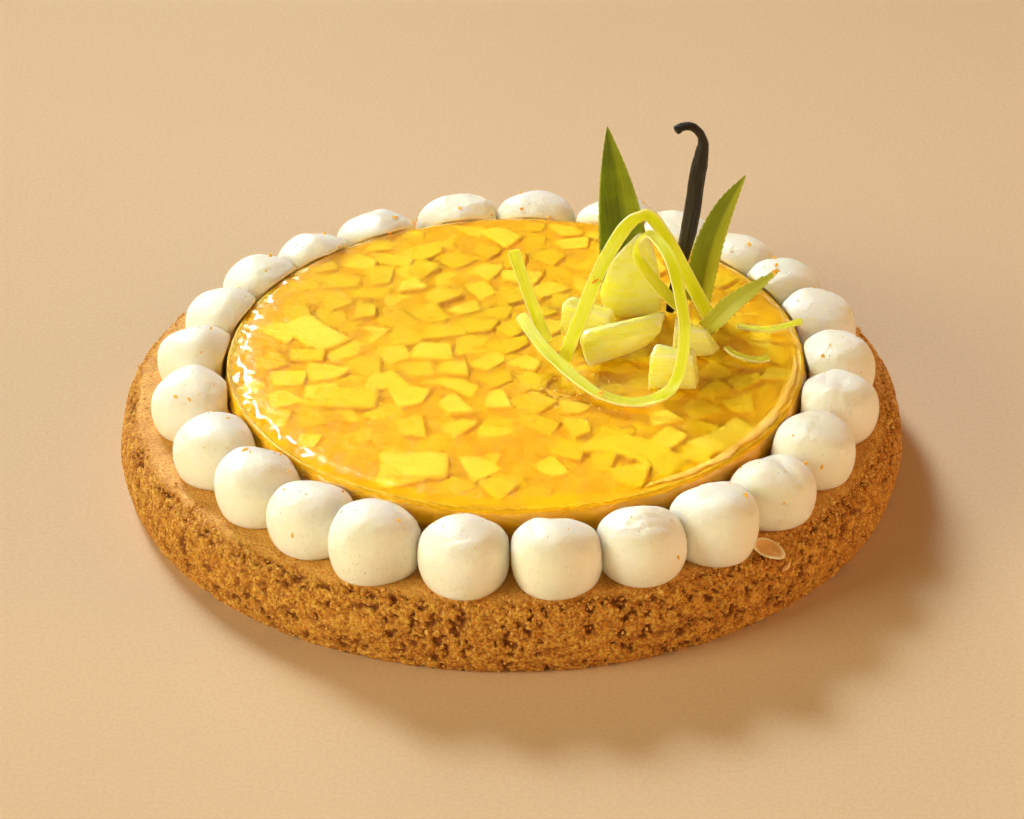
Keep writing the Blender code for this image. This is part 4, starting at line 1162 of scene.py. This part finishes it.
STRIPS = {
    "peel_upright": (0.0038, [
        (0.0011, 0.0116, 0.0660, 0), (0.0046, 0.0078, 0.0560, 6), (0.0085, 0.0030, 0.0460, 4),
        (0.0112, -0.0010, 0.0410, 0)]),
    "peel_loop": (0.0036, [
        (0.0030, 0.0000, 0.0500, 0), (0.0089, -0.0123, 0.0470, 10), (0.0148, -0.0200, 0.0445, 20),
        (0.0206, -0.0272, 0.0427, 34), (0.0264, -0.0326, 0.0414, 44), (0.0350, -0.0364, 0.0409, 44),
        (0.0434, -0.0372, 0.0430, 34), (0.0488, -0.0362, 0.0484, 14), (0.0510, -0.0330, 0.0602, 0),
        (0.0504, -0.0280, 0.0677, -6), (0.0474, -0.0170, 0.0776, -14), (0.0425, -0.0055, 0.0796, -46),
        (0.0395, -0.0010, 0.0765, -74), (0.0384, 0.0025, 0.0700, -46), (0.0400, 0.0050, 0.0640, -14),
        (0.0436, 0.0080, 0.0570, 0), (0.0482, 0.0104, 0.0500, 0), (0.0522, 0.0122, 0.0450, 0)]),
    "peel_arch": (0.0043, [
        (0.0160, -0.0122, 0.0410, 0), (0.0178, -0.0122, 0.0472, 0), (0.0208, -0.0110, 0.0547, 0),
        (0.0268, -0.0068, 0.0692, 0), (0.0336, -0.0023, 0.0798, -12), (0.0385, 0.0012, 0.0825, -52),
        (0.0425, 0.0032, 0.0812, -40), (0.0486, 0.0060, 0.0695, -10), (0.0560, 0.0090, 0.0530, 0),
        (0.0612, 0.0115, 0.0410, 0)]),
    "peel_sprig": (0.0020, [
        (0.0690, 0.0085, 0.0408, 60), (0.0740, 0.0066, 0.0408, 50), (0.0790, 0.0059, 0.0408, 40),
        (0.0840, 0.0062, 0.0420, 24), (0.0886, 0.0060, 0.0438, 10)]),
    "peel_curl": (0.0022, [
        (0.0650, -0.0042, 0.0407, 50), (0.0672, -0.0080, 0.0407, 50), (0.0712, -0.0112, 0.0407, 56),
        (0.0746, -0.0120, 0.0407, 50), (0.0776, -0.0115, 0.0410, 40)])}
STRIP_FACING = (0.0, -0.85, 0.53)


def make_strips(material):
    """Cut strips of peel: a flat, slightly dished section with square edges, carried along a smooth route."""
    for name, (width, route) in STRIPS.items():
        route = np.array(route)
        span = np.linalg.norm(np.diff(route[:, :3], axis=0), axis=1).sum()
        rows = max(40, int(span / 0.0005))
        followed = smooth_path(route * (1.0, 1.0, 1.0, 0.001), rows)
        path = followed[:, :3]
        side, outward = frames_along(path, followed[:, 3] * 1000.0, STRIP_FACING)
        around = (np.arange(28) + 0.5) / 28 * 2.0 * math.pi
        across = np.sign(np.cos(around)) * np.abs(np.cos(around)) ** 0.30
        through = np.sign(np.sin(around)) * np.abs(np.sin(around)) ** 0.45
        step = np.linspace(0.0, span, rows)
        line = np.stack([step, step * 0, step * 0], axis=-1)
        ragged = 1.0 + 0.05 * smooth_noise(line, 0.004, STRIP_SEED)
        end = np.clip(np.minimum(step, span - step) / 0.0006 + 0.6, 0.0, 1.0)
        reach = 0.5 * width * (ragged * end)[:, None] * across
        lift = 0.5 * STRIP_THICKNESS * through[None, :] - 0.00035 * (1.0 - across ** 2)[None, :]
        points = path[:, None] + reach[..., None] * side[:, None] + lift[..., None] * outward[:, None]
        grain = np.stack([step[:, None] + 0 * reach, reach, lift + 0 * reach], axis=-1)
        inner = np.where(through < 0.0, 1.0, 0.0)[None, :] + 0 * reach
        closed_piece("cut_" + name, points, material, "peel", name, marks={
            "grain": grain, "edge": np.abs(across)[None, :] + 0 * reach, "inner": inner})


# Each leaf: width, fold, facing, tooth size, paleness, how much paler its lit half is painted as painted
# light, and its spine
LEAVES = {
    "leaf_tall": (0.0166, 0.30, (0.1, -1.0, 0.1), 0.00015, 0.0, 0.35, [
        (0.0362, 0.0285, GARNISH_FLOOR + 0.0006), (0.0350, 0.0278, 0.0520), (0.0338, 0.0268, 0.0660),
        (0.0318, 0.0255, 0.0830), (0.0296, 0.0240, 0.1010)]),
    "leaf_right": (0.0100, 0.38, (-0.25, -1.0, 0.2), 0.00035, 0.26, 1.00, [
        (0.0580, 0.0245, GARNISH_FLOOR + 0.0008), (0.0592, 0.0250, 0.0500), (0.0617, 0.0250, 0.0620),
        (0.0660, 0.0245, 0.0740), (0.0714, 0.0235, 0.0845)]),
    "leaf_low": (0.0068, 0.32, (0.3, -0.75, 0.7), 0.00045, 0.62, 0.20, [
        (0.0591, 0.0030, 0.0430), (0.0631, 0.0032, 0.0473), (0.0672, 0.0036, 0.0516),
        (0.0738, 0.0042, 0.0566), (0.0811, 0.0052, 0.0619)])}


def make_leaves(material):
    """Crown leaves: a folded blade's thin section carried along its spine, widest a third of the way up,
    with small teeth that point along its edges."""
    rows, half_columns = 150, 17
    for name, (width, fold, facing, tooth_size, pale, lit_half, spine) in LEAVES.items():
        path = smooth_path(spine, rows)
        side, outward = frames_along(path, np.zeros(rows), facing)
        t = np.linspace(0.0, 1.0, rows)
        half = 0.5 * width * np.clip(0.80 + 0.62 * t - 1.42 * t ** 2.4, 0.0, None) + 0.0002 * t
        span = np.linalg.norm(np.diff(path, axis=0), axis=1).sum()
        tooth = (t * span / 0.0021) % 1.0
        teeth = tooth_size * (tooth ** 1.5 - 0.6) * (t < 0.96) * (t > 0.06)
        sweep = np.linspace(-1.0, 1.0, half_columns)
        across = np.concatenate([sweep, sweep[::-1]])
        face = np.concatenate([np.ones(half_columns), -np.ones(half_columns)])
        thin = 0.5 * LEAF_THICKNESS * (0.30 + 0.70 * (1.0 - across ** 2))
        reach = half[:, None] * across + np.sign(across) * teeth[:, None] * np.abs(across) ** 6
        raised = fold * half[:, None] * np.abs(across) ** 1.3 + face * thin
        points = path[:, None] + reach[..., None] * side[:, None] + raised[..., None] * outward[:, None]
        grain = np.stack([t[:, None] * span + 0 * reach, reach, 0 * reach], axis=-1)
        heart = pale + 0.30 * (1.0 - t[:, None]) ** 3
        # Painted light: lit_half paints one half of the fold paler, the side that takes the light.
        heart = heart + lit_half * ease(across, 0.05, 0.35) * (1.0 - 0.6 * t[:, None])
        closed_piece("crown_" + name, points, material, "leaf", name, marks={
            "grain": grain, "edge": np.abs(across) + 0 * reach,
            "pale": np.clip(heart + 0 * reach, 0.0, 1.0)})


POD_ROUTE = [
    (0.0491, 0.0190, GARNISH_FLOOR + 0.0002), (0.0508, 0.0190, 0.0510), (0.0529, 0.0190, 0.0610),
    (0.0549, 0.0190, 0.0727), (0.0565, 0.0194, 0.0860), (0.0577, 0.0199, 0.0930), (0.0582, 0.0200, 0.0972),
    (0.0573, 0.0200, 0.1006), (0.0547, 0.0199, 0.1030), (0.0517, 0.0193, 0.1032), (0.0497, 0.0187, 0.1020)]


POD_GIRTH_AT = (0.0, 0.12, 0.28, 0.45, 0.56, 0.66, 0.9, 0.96, 1.0)
POD_GIRTH = (0.0014, 0.0019, 0.0027, 0.00275, 0.0021, 0.0014, 0.00135, 0.0016, 0.0014)


def make_pod(material):
    """The vanilla pod: a round section that swells and thins along its route, ridged lengthwise."""
    rows, columns = 240, 40
    path = smooth_path(POD_ROUTE, rows)
    side, outward = frames_along(path, np.zeros(rows), (0.0, -1.0, 0.0))
    t = np.linspace(0.0, 1.0, rows)
    girth = np.interp(t, POD_GIRTH_AT, POD_GIRTH)
    girth = girth * np.sqrt(np.clip((1.004 - t) / 0.02, 0.05, 1.0))
    around = full_turn(columns)
    span = np.linalg.norm(np.diff(path, axis=0), axis=1).sum()
    grain = np.stack([t[:, None] * span + 0 * around, 0.0022 * np.cos(around) + 0 * t[:, None],
                      0.0022 * np.sin(around) + 0 * t[:, None]], axis=-1)
    ridges = smooth_noise(grain * (0.10, 1.0, 1.0), 0.0010, POD_SEED)
    ridges = ridges + 0.5 * smooth_noise(grain * (0.3, 1.0, 1.0), 0.0005, POD_SEED + 1)
    reach = girth[:, None] * (0.93 + 0.10 * ridges)
    points = (path[:, None] + (reach * np.cos(around))[..., None] * side[:, None]
              + (reach * np.sin(around))[..., None] * outward[:, None])
    closed_piece("dried_pod", points, material, "pod", "vanilla_pod", marks={"grain": grain})


def make_almond(material):
    """The almond flake: a thin disc, pointed at one end and a little cupped, lying as its node does.

    A bent sliver of almond lies beside it on the biscuit.
    """
    low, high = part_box("almond_flake")
    middle = (np.array(low) + np.array(high)) / 2
    block = rounded_block(12, 40, 2.6)
    flat = block * np.array(ALMOND_HALF)
    flat[..., 1] *= 1.0 - 0.35 * np.clip(block[..., 0], 0.0, 1.0)
    x, y = swung(flat[..., 0], flat[..., 1], math.radians(ALMOND_TURN))
    edge = np.hypot(block[..., 0], block[..., 1])
    outward = (x * middle[0] + y * middle[1]) / np.hypot(middle[0], middle[1])
    z = flat[..., 2] - 0.20 * outward + 0.00035 * edge ** 2
    points = middle + np.stack([x, y, z], axis=-1) - (0.0, 0.0, 0.0001)
    closed_piece("toasted_almond_flake", points, material, "almond", "almond_flake", marks={"edge": edge})

    place = middle + np.array(SLIVER_SHIFT)
    place[2] = shoulder_height(math.hypot(place[0], place[1]))
    block = rounded_block(8, 24, 2.6)
    half = block * np.array(SLIVER_HALF)
    across = half[..., 1] + SLIVER_BEND * block[..., 0] ** 2
    sliver = np.stack([*swung(half[..., 0], across, math.radians(SLIVER_TURN)), half[..., 2]], axis=-1)
    closed_piece("almond_sliver", place + sliver, material, "almond", marks={"edge": np.abs(block[..., 1])})


def make_floor():
    """A plain pale floor that reaches past every view."""
    material, tree, shader = food("plain_floor", Roughness=0.85, Specular_IOR_Level=0.2)
    tint = mottled(tree, object_place(tree), 0.4, 0.0012, 0.05, colour(224, 195, 160), colour(222, 192, 156))
    tree.links.new(tint["Color"], shader.inputs["Base Color"])
    reach = 6.0
    mesh = bpy.data.meshes.new("floor")
    corners = [(-reach, -reach, 0.0), (reach, -reach, 0.0), (reach, reach, 0.0), (-reach, reach, 0.0)]
    mesh.from_pydata(corners, [], [(0, 1, 2, 3)])
    mesh.materials.append(material)
    floor = bpy.data.objects.new("floor", mesh)
    bpy.context.scene.collection.objects.link(floor)


# Each light: azimuth and elevation in degrees, distance and size in metres, watts, colour, spread in degrees
LIGHTS = {
    "key": (117.0, 36.5, 3.6, 1.0, 3.3, (0.80, 0.92, 0.96), 22.0),
    "low_glint": (112.0, 22.0, 4.0, 0.5, 22.0, (0.97, 1.0, 1.0), 180.0),
    "front_fill": (268.0, 12.0, 3.0, 1.8, 18.0, (1.0, 0.94, 0.56), 180.0),
    "left_fill": (203.0, 22.0, 3.0, 1.6, 65.0, (1.0, 0.95, 0.65), 180.0),
    "right_fill": (345.0, 18.0, 3.0, 1.6, 38.0, (1.0, 0.62, 0.32), 180.0)}


def make_light(name, azimuth, elevation, distance, size, power, tint, spread_degrees):
    """A square soft light at an azimuth, an elevation and a distance from the tart, turned to aim at it."""
    turn, lift = math.radians(azimuth), math.radians(elevation)
    level = math.cos(lift)
    place = Vector((level * math.cos(turn), level * math.sin(turn), math.sin(lift))) * distance
    lamp = bpy.data.lights.new(name, "AREA")
    lamp.shape = "SQUARE"
    lamp.size = size
    lamp.energy = power
    lamp.color = tint
    lamp.spread = math.radians(spread_degrees)
    light = bpy.data.objects.new(name, lamp)
    light.location = place
    light.rotation_euler = (-place).to_track_quat("-Z", "Y").to_euler()
    bpy.context.scene.collection.objects.link(light)


def make_lights():
    """A soft key light from the back left, a low one that glints there, and warm fills and warm air."""
    for name, values in LIGHTS.items():
        make_light(name, *values)
    world = bpy.data.worlds.new("studio")
    bpy.context.scene.world = world
    world.use_nodes = True
    sky = world.node_tree.nodes["Background"]
    sky.inputs["Color"].default_value = (1.0, 0.50, 0.16, 1.0)
    sky.inputs["Strength"].default_value = 0.16


def make_camera():
    """A camera at the photograph's angle: the tart's middle lands a little under the frame's middle."""
    elevation = math.radians(CAMERA_ELEVATION)
    roll = math.radians(CAMERA_ROLL)
    back = Vector((0.0, -math.cos(elevation), math.sin(elevation)))
    level_up = Vector((0.0, math.sin(elevation), math.cos(elevation)))
    level_right = Vector((1.0, 0.0, 0.0))
    place = back * CAMERA_DISTANCE
    scale = CAMERA_DISTANCE / FOCAL_PIXELS
    aim = (level_up * (ORIGIN_PIXEL[1] - IMAGE_HEIGHT / 2) * scale
           - level_right * (ORIGIN_PIXEL[0] - IMAGE_WIDTH / 2) * scale)
    back = (place - aim).normalized()
    right = (level_right * math.cos(roll) + level_up * math.sin(roll)).normalized()
    up = back.cross(right).normalized()
    right = up.cross(back)
    lens = bpy.data.cameras.new("camera")
    lens.sensor_width = SENSOR_WIDTH
    lens.lens = FOCAL_PIXELS / IMAGE_WIDTH * SENSOR_WIDTH
    lens.clip_start, lens.clip_end = 0.05, 20.0
    camera = bpy.data.objects.new("camera", lens)
    camera.matrix_world = Matrix.Translation(place) @ Matrix((right, up, back)).transposed().to_4x4()
    bpy.context.scene.collection.objects.link(camera)
    bpy.context.scene.camera = camera


def make_scene():
    bpy.context.scene.view_settings.view_transform = "Standard"
    make_camera()
    make_lights()
    make_floor()
    make_crust(biscuit_material())
    crumb = crumb_material()
    make_crumbs(crumb)
    make_side_crumbs(crumb)
    make_jelly(clear_jelly_material())
    make_bed(bed_material())
    make_dice(dice_material())
    make_froth(froth_material())
    make_creams(cream_material())
    zest = zest_material()
    make_cream_specks(zest, seed_material())
    make_zest_bits(zest)
    make_chunks(pineapple_material())
    make_strips(peel_material())
    make_leaves(leaf_material())
    make_pod(pod_material())
    make_almond(almond_material())


make_scene()
